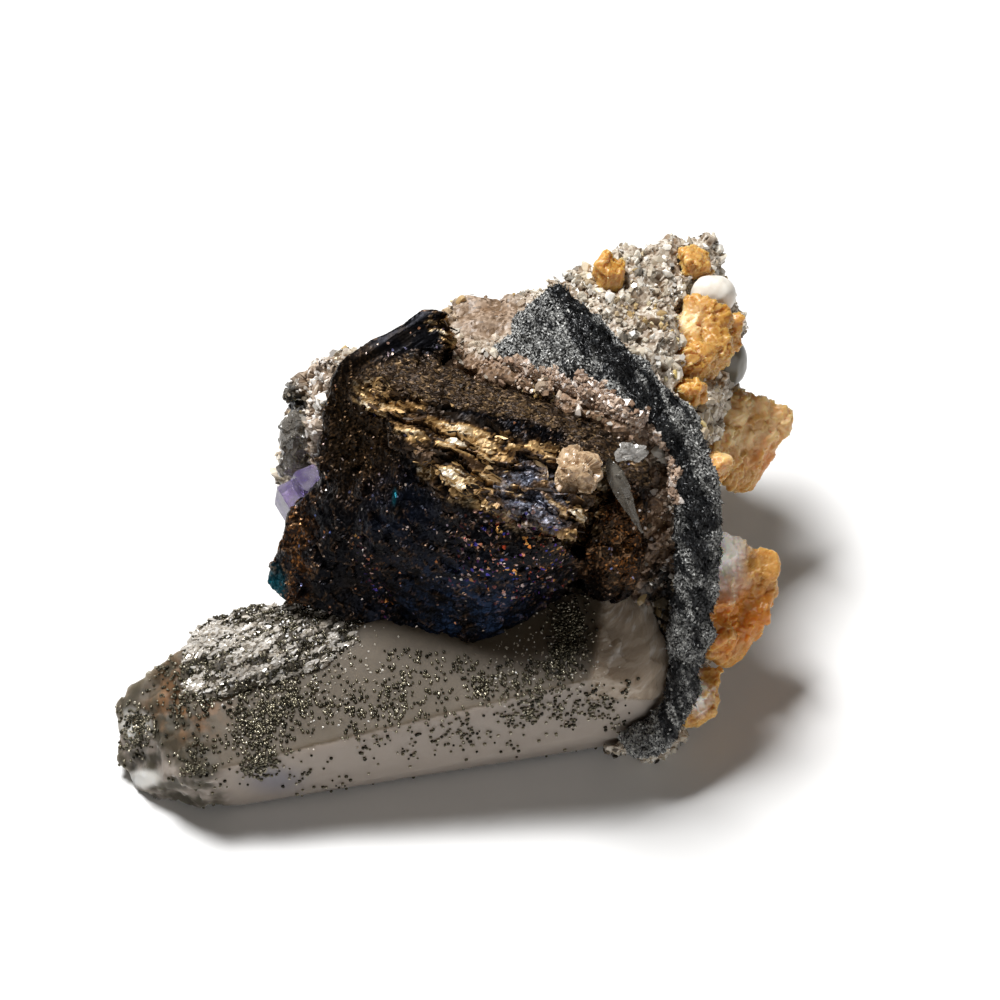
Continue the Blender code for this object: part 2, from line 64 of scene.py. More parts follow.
MM = 0.001
VIEW_ELEVATION = math.radians(50)
VIEW_DISTANCE = 450.0
VIEW_WIDTH = 120.0
VIEW_CENTRE = np.array([4.9, 6.9, 15.0])
RIGHT = np.array([1.0, 0.0, 0.0])
FORWARD = np.array([0.0, math.cos(VIEW_ELEVATION), -math.sin(VIEW_ELEVATION)])
UPWARD = np.array([0.0, math.sin(VIEW_ELEVATION), math.cos(VIEW_ELEVATION)])
EYE = VIEW_CENTRE - FORWARD * VIEW_DISTANCE
BOX_MARGIN = 0.03
SAME_PLACE = 1e-6
MOST_DRAWS = 12

# How a solid's fine skin is made: the net's spacing and how often it is smoothed, for each node.
Skin = namedtuple("Skin", "points faces normals")
ROCK_NET = (0.35, 2)
ORE_NET = (0.25, 1)
QUARTZ_NET = (0.3, 3)
SEAM_NET = (0.28, 2)
CRUST_NET = (0.25, 1)
CALCITE_NET = (0.18, 1)
CHUNK_NET = (0.16, 1)

# What mixed() stirs bits with: a factor for each axis, the salt's factor and start, and the shift and
# factor of each round. It then keeps these middle bits.
AXIS_FACTORS = (73856093, 19349663, 83492791)
SALT_FACTOR, SALT_START = 2654435761, 97
ROUNDS = ((15, 2246822519), (13, 3266489917), (16, 668265263))
LOW_BITS, KEPT_BITS = 20, 0xFFFFFF


# Fields

def mixed(cells, salt):
    """A number from 0 to 1 for each whole-number place, by mixing the bits of its coordinates."""
    whole = cells.astype(np.int64).astype(np.uint64)
    bits = np.uint64(salt * SALT_FACTOR + SALT_START)
    for axis, factor in enumerate(AXIS_FACTORS):
        bits = bits ^ whole[..., axis] * np.uint64(factor)
    for shift, factor in ROUNDS:
        bits = (bits ^ (bits >> np.uint64(shift))) * np.uint64(factor)
    return ((bits >> np.uint64(LOW_BITS)) & np.uint64(KEPT_BITS)) / float(KEPT_BITS)


def own_number(places, salt):
    """A number from 0 to 1 that a copy's place gives it."""
    return mixed(np.floor(places * 50), salt)


def past_whole(values):
    """How far each value is past the whole number below it."""
    return values - np.floor(values)


def drawn_out(points, way, share):
    """Points drawn together along a line by a share, which draws a pattern laid on them out along it."""
    return points - share * (points @ way)[:, None] * way


def lumps(points, size, salt=0):
    """Smooth noise from -1 to 1: a random value at each corner of cubes of one size, blended across
    each cube by a quintic curve."""
    scaled = points / size
    base = np.floor(scaled)
    part = scaled - base
    part = part**3 * (part * (part * 6 - 15) + 10)
    total = np.zeros(len(points))
    for corner in np.ndindex(2, 2, 2):
        weight = np.prod(np.where(corner, part, 1 - part), axis=1)
        total += weight * mixed(base + corner, salt)
    return total * 2 - 1


def crystals(points, size, salt=0, blocky=False):
    """The nearest of one random seed per cube of a size: how far it is, how much farther the next
    one is, its place and its number. Distance is the longest side where crystals are blocky."""
    scaled = points / size
    base = np.floor(scaled)
    first = np.full(len(points), np.inf)
    second = first.copy()
    home = np.zeros_like(points)
    for step in np.ndindex(3, 3, 3):
        cell = base + step - 1
        seed = cell + np.stack([mixed(cell, salt + axis) for axis in range(3)], axis=1)
        away = np.abs(seed - scaled)
        far = away.max(axis=1) if blocky else np.sqrt((away**2).sum(axis=1))
        nearer = far < first
        second = np.where(nearer, first, np.minimum(second, far))
        first = np.where(nearer, far, first)
        home = np.where(nearer[:, None], seed, home)
    number = mixed(np.floor(home * 1000), salt + 3)
    return first, second - first, home * size, number


def facets(points, size, salt=0, tilt=0.6, step=0.5, blocky=False):
    """The height of a surface broken into crystals: each has a plane of its own tilt and level."""
    _, _, home, number = crystals(points, size, salt, blocky)
    turned = np.stack([mixed(np.floor(home * 777), salt + 5 + axis) for axis in range(3)], axis=1)
    leaning = ((points - home) * (turned - 0.5)).sum(axis=1) * 2 * tilt
    return leaning + (number - 0.5) * step * size


def eased(low, high, values):
    """A smooth step from 0 at low to 1 at high."""
    share = np.clip((values - low) / (high - low), 0, 1)
    return share * share * (3 - 2 * share)


def as_seen(points):
    """Where points are seen in the display view: millimetres across and up, on its picture plane."""
    away = points - EYE
    depth = away @ FORWARD
    return np.stack([away @ RIGHT, away @ UPWARD], axis=1) * (VIEW_DISTANCE / depth)[:, None]


def blot(seen, centre, radii, soft=0.4, turn=0.0):
    """1 inside an ellipse of the display view, 0 outside, with a soft edge."""
    away = seen - np.array(centre)
    sine, cosine = math.sin(turn), math.cos(turn)
    along = away[:, 0] * cosine + away[:, 1] * sine
    beside = away[:, 1] * cosine - away[:, 0] * sine
    far = np.hypot(along / radii[0], beside / radii[1])
    return 1 - eased(1 - soft, 1 + soft, far)


def band(seen, line, half_width, soft=0.4):
    """1 along a line of the display view and 0 away from it, with a soft edge."""
    nearest = np.full(len(seen), np.inf)
    corners = np.array(line, float)
    for start, end in zip(corners, corners[1:]):
        run = end - start
        share = np.clip((seen - start) @ run / (run @ run), 0, 1)
        gap = seen - start - share[:, None] * run
        nearest = np.minimum(nearest, np.hypot(gap[:, 0], gap[:, 1]))
    return 1 - eased(1 - soft, 1 + soft, nearest / half_width)


def zone(seen, *parts):
    """The greatest of several blots and bands. Each part is its strength, then its middle or its
    line, and then what else blot() or band() takes."""
    fields = []
    for strength, where, *rest in parts:
        drawn = band if isinstance(where, list) else blot
        fields.append(strength * drawn(seen, where, *rest))
    return np.maximum.reduce(fields)


# Skins and small shapes

def unit(vectors):
    """Vectors made one long, also where one is nothing."""
    return vectors / np.maximum(np.linalg.norm(vectors, axis=-1, keepdims=True), 1e-12)


def skinned(points, faces):
    """A skin with its normals: at each corner the sum of its faces' normals, as long as their areas,
    made one long."""
    corners = points[faces]
    across = np.cross(corners[:, 2] - corners[:, 0], corners[:, 3] - corners[:, 1])
    total = np.zeros_like(points)
    for column, axis in np.ndindex(4, 3):
        total[:, axis] += np.bincount(faces[:, column], across[:, axis], len(points))
    return Skin(points, faces, unit(total))


def refined(node, spacing, smoothing):
    """The node's solid under one even, closed net of squares of that spacing, smoothed a little. A
    grid of two parameters can't follow these undercut lumps, so Blender's voxel remesh lays it."""
    whole = bmesh.new()
    whole.from_mesh(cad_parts[node].data)
    bmesh.ops.remove_doubles(whole, verts=whole.verts, dist=SAME_PLACE)
    mesh = bpy.data.meshes.new("net")
    whole.to_mesh(mesh)
    whole.free()
    obj = bpy.data.objects.new("net", mesh)
    bpy.context.scene.collection.objects.link(obj)
    net = obj.modifiers.new("net", "REMESH")
    net.mode = "VOXEL"
    net.voxel_size = spacing * MM
    if smoothing:
        even = obj.modifiers.new("even", "SMOOTH")
        even.iterations = smoothing
    bpy.context.view_layer.update()
    made = obj.evaluated_get(bpy.context.evaluated_depsgraph_get()).to_mesh()
    points = np.zeros(len(made.vertices) * 3, np.float32)
    made.vertices.foreach_get("co", points)
    corners = np.zeros(len(made.loops), np.int32)
    made.loops.foreach_get("vertex_index", corners)
    faces = corners.reshape(-1, 4)
    points = points.astype(float).reshape(-1, 3) / MM
    bpy.data.objects.remove(obj)
    bpy.data.meshes.remove(mesh)
    return skinned(points, faces)


def raised(skin, height):
    """The skin with each corner moved along its normal by a height."""
    return skinned(skin.points + skin.normals * height[:, None], skin.faces)


def bulging(skin):
    """How far each corner stands out, in millimetres along its normal, from its neighbours' mean."""
    total = np.zeros_like(skin.points)
    count = np.zeros(len(skin.points))
    for first, second in ((0, 1), (1, 2), (2, 3), (3, 0), (1, 0), (2, 1), (3, 2), (0, 3)):
        ends = skin.faces[:, second]
        count += np.bincount(skin.faces[:, first], minlength=len(count))
        for axis in range(3):
            total[:, axis] += np.bincount(skin.faces[:, first], skin.points[ends, axis], len(count))
    return ((skin.points - total / count[:, None]) * skin.normals).sum(axis=1)


def kept_in(points):
    """The points, held within the specimen's box."""
    low, high = (np.array(corner) / MM for corner in cad_box)
    return np.clip(points, low + BOX_MARGIN, high - BOX_MARGIN)


def piece(name, skin, material, nodes=(), smooth=False, marks=None):
    """A finished piece from a skin's corners and faces, with the marks that its material reads."""
    points, faces = skin[:2]
    mesh = bpy.data.meshes.new(name)
    mesh.from_pydata((kept_in(points) * MM).tolist(), [], faces.tolist())
    for mark, values in (marks or {}).items():
        mesh.attributes.new(mark, "FLOAT", "POINT").data.foreach_set("value", values.astype(np.float32))
    mesh.materials.append(material)
    mesh.polygons.foreach_set("use_smooth", np.full(len(faces), smooth))
    mesh.update()
    obj = bpy.data.objects.new(name, mesh)
    bpy.context.scene.collection.objects.link(obj)
    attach(obj, "root")
    if nodes:
        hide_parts(*nodes)


def sprinkled(skin, count, seed, chance):
    """Random places on a skin, even over its area and then kept by chance: places and normals. It
    draws until it has the count, though no more than a few times."""
    dice = np.random.default_rng(seed)
    corners = skin.points[skin.faces]
    first = np.cross(corners[:, 1] - corners[:, 0], corners[:, 2] - corners[:, 0])
    area = np.linalg.norm(first, axis=1)
    places, normals = np.zeros((0, 3)), np.zeros((0, 3))
    for _ in range(MOST_DRAWS):
        picked = dice.choice(len(area), size=count * 2, p=area / area.sum())
        shares = dice.random((len(picked), 2, 1))
        quad = skin.points[skin.faces[picked]]
        top = quad[:, 0] + (quad[:, 1] - quad[:, 0]) * shares[:, 0]
        low = quad[:, 3] + (quad[:, 2] - quad[:, 3]) * shares[:, 0]
        spots = top + (low - top) * shares[:, 1]
        facing = skin.normals[skin.faces[picked, 0]]
        keep = dice.random(len(spots)) < chance(spots, facing)
        places = np.concatenate([places, spots[keep]])
        normals = np.concatenate([normals, facing[keep]])
        if len(places) >= count:
            break
    return places[:count], normals[:count]


def frames_for(outward, along):
    """A turned frame at each place: its third axis points outward, its first lies along a line."""
    third = unit(outward)
    first = unit(along - (along * third).sum(axis=1, keepdims=True) * third)
    return np.stack([first, np.cross(third, first), third], axis=2)


def strewn(shape, places, frames, sizes, jitter=0.0, seed=0):
    """A copy of a small shape at each place, stretched by three sizes, its corners moved a little,
    turned by its frame and set down: corners and faces of all the copies."""
    corners, faces = shape
    dice = np.random.default_rng(seed)
    moved = corners[None] + dice.uniform(-jitter, jitter, (len(places), *corners.shape))
    points = places[:, None] + np.einsum("nij,nkj->nki", frames, moved * sizes[:, None])
    shifts = np.arange(len(places))[:, None, None] * len(corners)
    return points.reshape(-1, 3), (faces[None] + shifts).reshape(-1, faces.shape[1])


def shard():
    """A unit shard: an octahedron of eight triangles."""
    corners = np.concatenate([np.eye(3), -np.eye(3)]) / 2
    upper = [(0, 1, 2), (1, 3, 2), (3, 4, 2), (4, 0, 2)]
    return corners, np.array(upper + [(b, a, 5) for a, b, _ in upper])


def ball():
    """A unit ball of 32 faces: each face of a shard split in four, with every corner at one radius."""
    corners, faces = shard()
    split = []
    for a, b, c in corners[faces]:
        ab, bc, ca = unit(a + b) / 2, unit(b + c) / 2, unit(c + a) / 2
        split += [(a, ab, ca), (ab, b, bc), (ca, bc, c), (ab, bc, ca)]
    corners = np.round(np.array(split).reshape(-1, 3), 6)
    corners, index = np.unique(corners, axis=0, return_inverse=True)
    return corners, index.reshape(-1, 3)


def plate():
    """A unit plate: two pentagons a thickness apart, as a closed fan of triangles."""
    sides = 5
    turns = [math.tau * s / sides for s in range(sides)]
    corners = [(math.cos(turn) / 2, math.sin(turn) / 2, z) for z in (-0.5, 0.5) for turn in turns]
    faces = []
    for s in range(1, sides - 1):
        faces += [(0, s + 1, s), (sides, sides + s, sides + s + 1)]
    for s in range(sides):
        after = (s + 1) % sides
        faces += [(s, after, sides + after), (s, sides + after, sides + s)]
    return np.array(corners), np.array(faces)


def needle():
    """A unit needle along its first axis: a three-sided rod that narrows to a point at each end."""
    corners = [(-0.5, 0, 0), (0.5, 0, 0)]
    thirds = (0, 2.094, 4.189)
    for x in (-0.3, 0.3):
        corners += [(x, math.cos(turn) / 2, math.sin(turn) / 2) for turn in thirds]
    faces = []
    for s in range(3):
        after = (s + 1) % 3
        faces += [(0, 2 + after, 2 + s), (1, 5 + s, 5 + after)]
        faces += [(2 + s, 2 + after, 5 + after), (2 + s, 5 + after, 5 + s)]
    return np.array(corners), np.array(faces)


def scattered(name, skin, shape, count, seed, material, wide, chance, stretch=(1.0, 1.0, 1.0),
              lift=0.1, along=None, loose=1.0, jitter=0.1, marks=None, smooth=False):
    """One piece of many copies of a shape strewn over a skin by chance. They have a range of widths
    and their proportions; they turn every way, or lie along a line, more or less loosely."""
    places, normals = sprinkled(skin, count, seed, lambda spots, facing: chance(spots))
    dice = np.random.default_rng(seed + 1)
    outward, onward = dice.normal(size=(2, *normals.shape))
    if along is not None:
        outward, onward = normals + loose * outward, along + loose * onward
    sizes = dice.uniform(*wide, (len(places), 1)) * dice.uniform(0.75, 1.25, (len(places), 3)) * stretch
    frames = frames_for(outward, onward)
    copies = strewn(shape, places + normals * lift, frames, sizes, jitter, seed + 2)
    own = {"grain": dice.random(len(places)), **(marks(places) if marks else {})}
    own = {mark: np.repeat(values.astype(float), len(shape[0])) for mark, values in own.items()}
    piece(name, copies, material, smooth=smooth, marks=own)


# Materials

def linear(hexed):
    """An sRGB hex colour as linear light."""
    parts = [int(hexed[at:at + 2], 16) / 255 for at in (1, 3, 5)]
    return (*[p / 12.92 if p <= 0.04045 else ((p + 0.055) / 1.055) ** 2.4 for p in parts], 1.0)


def add(tree, kind, settings=None, links=None):
    """Adds a node and gives its outputs. Settings in lower case are its own, the others its sockets'
    values; "stops" are a ramp's places and colours; links feed its sockets from other outputs."""
    node = tree.nodes.new("ShaderNode" + kind)
    for name, value in (settings or {}).items():
        if name == "stops":
            ramp = node.color_ramp.elements
            while len(ramp) < len(value):
                ramp.new(0.5)
            for stop, (place, colour) in zip(ramp, value):
                stop.position = place
                stop.color = linear(colour)
        elif isinstance(name, str) and name.islower():
            setattr(node, name, value)
        else:
            node.inputs[name].default_value = linear(value) if isinstance(value, str) else value
    for name, socket in (links or {}).items():
        tree.links.new(socket, node.inputs[name])
    return node.outputs


def started(name, *noises):
    """A new material: itself, its tree, its object coordinates, and a noise for each pair of a size
    in millimetres and a number of octaves."""
    material = bpy.data.materials.new(name)
    material.use_nodes = True
    tree = material.node_tree
    tree.nodes.clear()
    place = add(tree, "TexCoord")["Object"]
    fields = []
    for size, octaves in noises:
        settings = {"Scale": per_mm(size), "Detail": octaves}
        fields.append(add(tree, "TexNoise", settings, {"Vector": place})["Fac"])
    return material, tree, place, *fields


def finished(material, settings, links, clear=None):
    """Closes a material with its shader and output. A clear one is given the colour that it lets
    through and how densely it absorbs the rest, per metre."""
    tree = material.node_tree
    ends = {"Surface": add(tree, "BsdfPrincipled", settings, links)["BSDF"]}
    if clear:
        ends["Volume"] = add(tree, "VolumeAbsorption", dict(zip(("Color", "Density"), clear)))["Volume"]
    add(tree, "OutputMaterial", links=ends)
    return material


def per_mm(size):
    """The pattern scale that repeats after a size in millimetres."""
    return 1 / (size * MM)


def mask(tree, *parts):
    """The product of several values. A part is a socket or the name of one of the mesh's marks, alone
    or with the two values between which it rises from 0 to 1, or from a third value to a fourth."""
    product = None
    for part in parts:
        value, *ends = part if isinstance(part, tuple) else (part,)
        if isinstance(value, str):
            value = add(tree, "Attribute", {"attribute_name": value})["Fac"]
        if ends:
            settings = dict(zip(("From Min", "From Max", "To Min", "To Max"), ends))
            settings["interpolation_type"] = "SMOOTHSTEP"
            value = add(tree, "MapRange", settings, {"Value": value})["Result"]
        if product is not None:
            value = add(tree, "Math", {"operation": "MULTIPLY"}, {0: product, 1: value})[0]
        product = value
    return product


def painted(tree, first, *layers):
    """A colour with layers over it, each given as the parts of its mask and then its own colour. A
    colour is hex, or a tuple of a mask's part and the places and colours that it runs through."""
    base = None
    for *parts, colour in ([first], *layers):
        if isinstance(colour, tuple):
            value, *stops = colour
            colour = add(tree, "ValToRGB", {"stops": stops}, {"Fac": mask(tree, value)})["Color"]
        if not parts:
            base = colour
            continue
        settings = {"data_type": "RGBA"}
        links = {0: mask(tree, *parts)}
        for socket, source in ((6, base), (7, colour)):
            (settings if isinstance(source, str) else links)[socket] = source
        base = add(tree, "Mix", settings, links)[2]
    return base


def glitter(tree, place, size, tilt):
    """A normal that leans its own way on every cell of one size, and the cells' three random values.
    The tilt is a number, or a socket where it changes over the piece."""
    cells = add(tree, "TexVoronoi", {"Scale": per_mm(size)}, {"Vector": place})["Color"]
    lean = add(tree, "VectorMath", {"operation": "SUBTRACT", 1: (0.5, 0.5, 0.5)}, {0: cells})[0]
    settings, links = {"operation": "SCALE"}, {0: lean}
    (settings if isinstance(tilt, float) else links)["Scale"] = tilt
    lean = add(tree, "VectorMath", settings, links)[0]
    normal = add(tree, "NewGeometry")["Normal"]
    both = add(tree, "VectorMath", {"operation": "ADD"}, {0: lean, 1: normal})[0]
    leant = add(tree, "VectorMath", {"operation": "NORMALIZE"}, {0: both})[0]
    return leant, add(tree, "SeparateColor", links={"Color": cells})


def tarnished_arsenopyrite():
    """Arsenopyrite with its natural tarnish: a dark metal that breaks into tiny mirror faces, black
    and navy on the main face, bronze on the ledges, rust at the left, with violet and gold glints.
    The mirror faces are drawn 0.25 mm wide, coarser than most real ones, so that they show."""
    material, tree, place, broad, fine, wide, loose = started(
        "tarnished_arsenopyrite", (2.4, 3.0), (0.3, 2.0), (1.6, 3.0), (1.0, 2.0))
    tilt = add(tree, "Math", {"operation": "SUBTRACT", 0: 0.32}, {1: mask(tree, "calm")})[0]
    normal, small = glitter(tree, place, 0.25, tilt)
    _, large = glitter(tree, place, 0.36, 0.5)
    colour = painted(
        tree, "#0c0c10",
        [(broad, 0.45, 0.7), "#171311"],
        ["blue", (broad, 0.35, 0.65), "#15263f"],
        ["block", (fine, (0.3, "#0d0a07"), (0.6, "#2b1e10"), (0.8, "#5b4222"))],
        ["rust", (broad, 0.35, 0.6),
         (small[2], (0.0, "#120c08"), (0.6, "#3a2616"), (0.92, "#7a4c24"), (1.0, "#c98a50"))],
        # Painted highlight: a paler brown on the raised edges of the main face.
        ["edge", (wide, 0.45, 0.6), "#8a6a4c"],
        # The ledges run from dark to pale by their mark, which holds each sheet's own tone and painted
        # shade at the foot of each step and between sheets.
        ["ledge", ("crest", (0.0, "#110b06"), (0.14, "#4a341d"), (0.3, "#86663a"), (0.5, "#b08f5e"),
                   (0.75, "#cdb48c"), (1.0, "#ece0ca"))],
        ["band", ("streak", (0.0, "#0f0a06"), (0.4, "#3a2a1b"), (0.7, "#6e5637"), (1.0, "#b0966a"))],
        ["steel", (broad, 0.3, 0.55), (small[2], (0.0, "#15161b"), (0.5, "#4c5160"), (1.0, "#969bab"))],
        ["teal", "#0b4450"],
        ["glint", (large[0], 0.8, 0.86), (loose, 0.42, 0.56),
         (large[1], (0.0, "#3c4fb8"), (0.2, "#6b3590"), (0.4, "#c24a1c"), (0.6, "#efd9d2"),
          (0.8, "#e07a30"), (1.0, "#f0c070"))],
        ["face", (small[0], 0.988, 0.992),
         (small[1], (0.0, "#5a6aa0"), (0.4, "#a08468"), (0.7, "#c8c2c0"), (1.0, "#b06a30"))],
    )
    uneven = mask(tree, (fine, 0.0, 1.0, 0.24, 0.5))
    dulled = mask(tree, ("dull", 0.0, 1.0, 0.0, 0.15))
    return finished(material, {}, {
        "Base Color": colour, "Normal": normal, "Metallic": mask(tree, ("dull", 0.0, 1.0, 0.9, 0.5)),
        "Roughness": add(tree, "Math", {"operation": "ADD"}, {0: uneven, 1: dulled})[0],
    })


def grainy_rock():
    """Broken mica rock: a matt beige and grey body, with painted shade in dark brown in its hollows."""
    material, tree, place, broad = started("grainy_mica_rock", (3.0, 3.0))
    normal, cell = glitter(tree, place, 0.32, 0.35)
    colour = painted(
        tree, (cell[0], (0.0, "#8c7c69"), (0.3, "#ae9f8d"), (0.7, "#cbc0af"), (1.0, "#e8e0d4")),
        [(broad, 0.52, 0.72), "#80664a"],
        ["pink", (cell[0], (0.0, "#513d2c"), (0.5, "#7f634b"), (1.0, "#ab8f76"))],
        # Painted shade in the rock's hollows.
        ["hollow", "#6b533a"],
        ["dark", "#131210"],
    )
    return finished(material, {"Roughness": 0.45}, {"Base Color": colour, "Normal": normal})


def quartz_grains():
    """Sugary quartz grains broken loose: each a slightly different white, grey, beige or pink, with
    light spread a little below its glassy skin."""
    material, tree, _ = started("sugary_quartz_grains")
    colour = painted(
        tree, ("grain", (0.0, "#8f8270"), (0.25, "#b8ab97"), (0.5, "#d2c7b5"), (0.75, "#e9e0d0"),
               (1.0, "#f8f5ee")),
        ["pink", ("grain", (0.0, "#6e5644"), (0.4, "#b19580"), (0.75, "#d4b8a0"), (1.0, "#f8ece2"))],
        ["yellow", ("grain", (0.0, "#7a581e"), (0.5, "#b9964c"), (1.0, "#e2cb8c"))],
        ["dark", "#1b1a1a"],
    )
    settings = {
        "Roughness": 0.26, "IOR": 1.54, "Subsurface Weight": 0.35, "Subsurface Scale": 0.001,
        "Subsurface Radius": (1.0, 0.9, 0.78),
    }
    return finished(material, settings, {"Base Color": colour})


def mica_flakes():
    """Loose mica: thin cleaved plates that flash white, silver or bronze where they face the light."""
    material, tree, _ = started("cleaved_mica")
    stops = ((0.0, "#2a2620"), (0.3, "#8a7a64"), (0.6, "#c4bcb0"), (1.0, "#f0ece6"))
    colour = painted(tree, ("grain", *stops))
    return finished(material, {"Roughness": 0.2, "Metallic": 0.3}, {"Base Color": colour})


def matted_needles():
    """Matted black needles: dark and slightly glossy, frosted grey in patches."""
    material, tree, place = started("matted_black_needles")
    normal, cell = glitter(tree, place, 0.2, 0.6)
    colour = painted(
        tree, "#0b0c0e",
        [(cell[0], 0.75, 0.95), "#303336"],
        ["frost", (cell[2], 0.1, 0.45), (cell[1], (0.0, "#7c7d7c"), (0.5, "#b2b2af"), (1.0, "#e2e2dd"))],
    )
    return finished(material, {"Roughness": 0.38}, {"Base Color": colour, "Normal": normal})


def frosted_quartz():
    """A grown quartz crystal: clouded inside and frosted on its faces, with rust and white at its
    stub, and glassier, feathery ridges on its broken end."""
    material, tree, _, cloud, patch, stain, grain = started(
        "frosted_quartz", (9.0, 4.0), (3.0, 3.0), (1.6, 3.0), (0.25, 2.0))
    rays = add(tree, "CombineXYZ", links={"X": mask(tree, "turn"), "Y": mask(tree, "far")})[0]
    feather = add(tree, "TexNoise", {"Scale": 1.0, "Detail": 5.0}, {"Vector": rays})["Fac"]
    colour = painted(
        tree, "#5e5241",
        [(cloud, 0.42, 0.66), "#6a5e4e"],
        # Painted light: a paler colour on the faces that turn forward.
        ["front", "#a0958b"],
        ["smoke", "#7c7a82"],
        ["stub", (patch, 0.35, 0.6), "#4b4538"],
        ["end", "#ac9c8a"],
        ["end", (feather, 0.52, 0.7), "#c9bfb4"],
        ["rust", (stain, 0.4, 0.65), "#a5764c"],
        ["white", "#eeebe4"],
    )
    frost = add(tree, "Bump", {"Strength": 0.25, "Distance": 0.00005}, {"Height": grain})["Normal"]
    links = {"Height": mask(tree, "end", feather), "Normal": frost}
    settings = {
        "IOR": 1.54, "Specular IOR Level": 0.25, "Transmission Weight": 0.12,
        "Subsurface Weight": 0.75, "Subsurface Scale": 0.006, "Subsurface Radius": (1.0, 0.93, 0.85),
    }
    return finished(material, settings, {
        "Base Color": colour, "Roughness": mask(tree, ("end", 0.0, 1.0, 0.6, 0.2)),
        "Normal": add(tree, "Bump", {"Strength": 0.9, "Distance": 0.0006}, links)["Normal"],
    }, ("#c4b6a2", 40.0))


def small_clear_quartz():
    """Small grown quartz: grey, clearer than the large crystal, with glassy faces."""
    material, tree, _, veil = started("grey_glassy_quartz", (1.5, 3.0))
    colour = painted(tree, "#7d766c", [(veil, 0.4, 0.7), "#a59f94"], ["pale", "#dcd9d4"])
    settings = {"Roughness": 0.16, "IOR": 1.54, "Transmission Weight": 0.6}
    return finished(material, settings, {"Base Color": colour}, ("#c9c0b4", 60.0))


def sulphide_balls():
    """Balls of iron sulphide grown on the quartz: dark greenish bronze with small highlights."""
    material, tree, place = started("dark_sulphide_balls")
    normal, _ = glitter(tree, place, 0.1, 0.35)
    stops = ((0.0, "#2a2820"), (0.5, "#575243"), (0.8, "#857e6a"), (1.0, "#bdb6a4"))
    links = {"Base Color": painted(tree, ("grain", *stops)), "Normal": normal}
    return finished(material, {"Metallic": 0.8, "Roughness": 0.27}, links)


def waxy_calcite():
    """Stepped calcite stained by iron: waxy and crumbly, orange to cream block by block, with painted
    highlight where it stands out and painted shade in deeper orange in its hollows, and with light
    spread deep below its skin."""
    material, tree, place, broad = started("waxy_orange_calcite", (3.0, 3.0))
    normal, _ = glitter(tree, place, 0.45, 0.3)
    colour = painted(
        # Painted highlight and shade: the height mark runs from deeper orange in hollows to cream where the
        # surface stands out.
        tree, ("height", (0.0, "#a86a24"), (0.35, "#c08a3e"), (0.65, "#cf9f5a"), (1.0, "#e0c08a")),
        ["cream", (broad, 0.25, 0.5), "#ecca96"],
        ["orange", (broad, 0.25, 0.5), "#cf8026"],
        ["white", (broad, 0.2, 0.45), "#fbf0e8"],
    )
    settings = {
        "Roughness": 0.38, "Subsurface Weight": 0.75, "Subsurface Scale": 0.0022,
        "Subsurface Radius": (1.0, 0.65, 0.35),
    }
    return finished(material, settings, {"Base Color": colour, "Normal": normal})


def porcelain_calcite():
    """Smooth rounded calcite: creamy white with greyer clouds, like unglazed porcelain."""
    material, tree, _, cloud = started("smooth_white_calcite", (2.2, 3.0))
    colour = painted(tree, "#eee8dd", [(cloud, 0.4, 0.65), "#dfd6c8"], ["grey", "#6f6a5e"])
    settings = {
        "Roughness": 0.3, "Subsurface Weight": 0.2, "Subsurface Scale": 0.001,
        "Subsurface Radius": (1.0, 0.9, 0.8),
    }
    return finished(material, settings, {"Base Color": colour})


def violet_fluorite():
    """Grown fluorite cubes: clear violet glass, paler in clouds."""
    material, tree, _, cloud = started("clear_violet_fluorite", (1.6, 3.0))
    colour = painted(tree, "#a594c8", [(cloud, 0.35, 0.65), "#d6cce6"])
    settings = {"Roughness": 0.08, "IOR": 1.43, "Transmission Weight": 0.75}
    return finished(material, settings, {"Base Color": colour}, ("#a98ade", 220.0))


TARNISH = tarnished_arsenopyrite()
ROCK = grainy_rock()
GRAINS = quartz_grains()
MICA = mica_flakes()
NEEDLES = matted_needles()
QUARTZ = frosted_quartz()
CLEAR = small_clear_quartz()
BALLS = sulphide_balls()
CALCITE = waxy_calcite()
PORCELAIN = porcelain_calcite()
FLUORITE = violet_fluorite()


# Pieces

# The ledges run beside this line of the display view and step down to its lower left.
LEDGE_START = np.array([-15.0, 13.6])
LEDGE_RUN = np.array([0.933, -0.36])
LEDGE_WAY = RIGHT * LEDGE_RUN[0] + UPWARD * LEDGE_RUN[1]
LEDGE_SPACING = 3.0
LEDGE_HEIGHT = 1.15
LEDGE_STRETCH = 0.8
FIBRE_STRETCH = 0.88
BLADE_WAY = RIGHT * 0.85 + UPWARD * 0.52
BLADE_STRETCH = 0.9
COLUMN_WIDTH = 1.2
TOOTH_WIDTH = 0.42


def ragged(points, reach=0.9, moved=0.0):
    """Where points are seen once moved, pushed about by noise so that zones drawn on them get
    ragged edges."""
    shift = np.stack([lumps(points, 1.8, 11), lumps(points, 1.8, 12)], axis=1)
    shift = shift + 0.5 * np.stack([lumps(points, 0.6, 13), lumps(points, 0.6, 14)], axis=1)
    return as_seen(points + moved) + shift * reach


def down_ledges(points):
    """How far along the ledges and down their steps a point is, as seen."""
    away = ragged(points) - LEDGE_START
    return away @ LEDGE_RUN, away @ np.array([LEDGE_RUN[1], -LEDGE_RUN[0]])


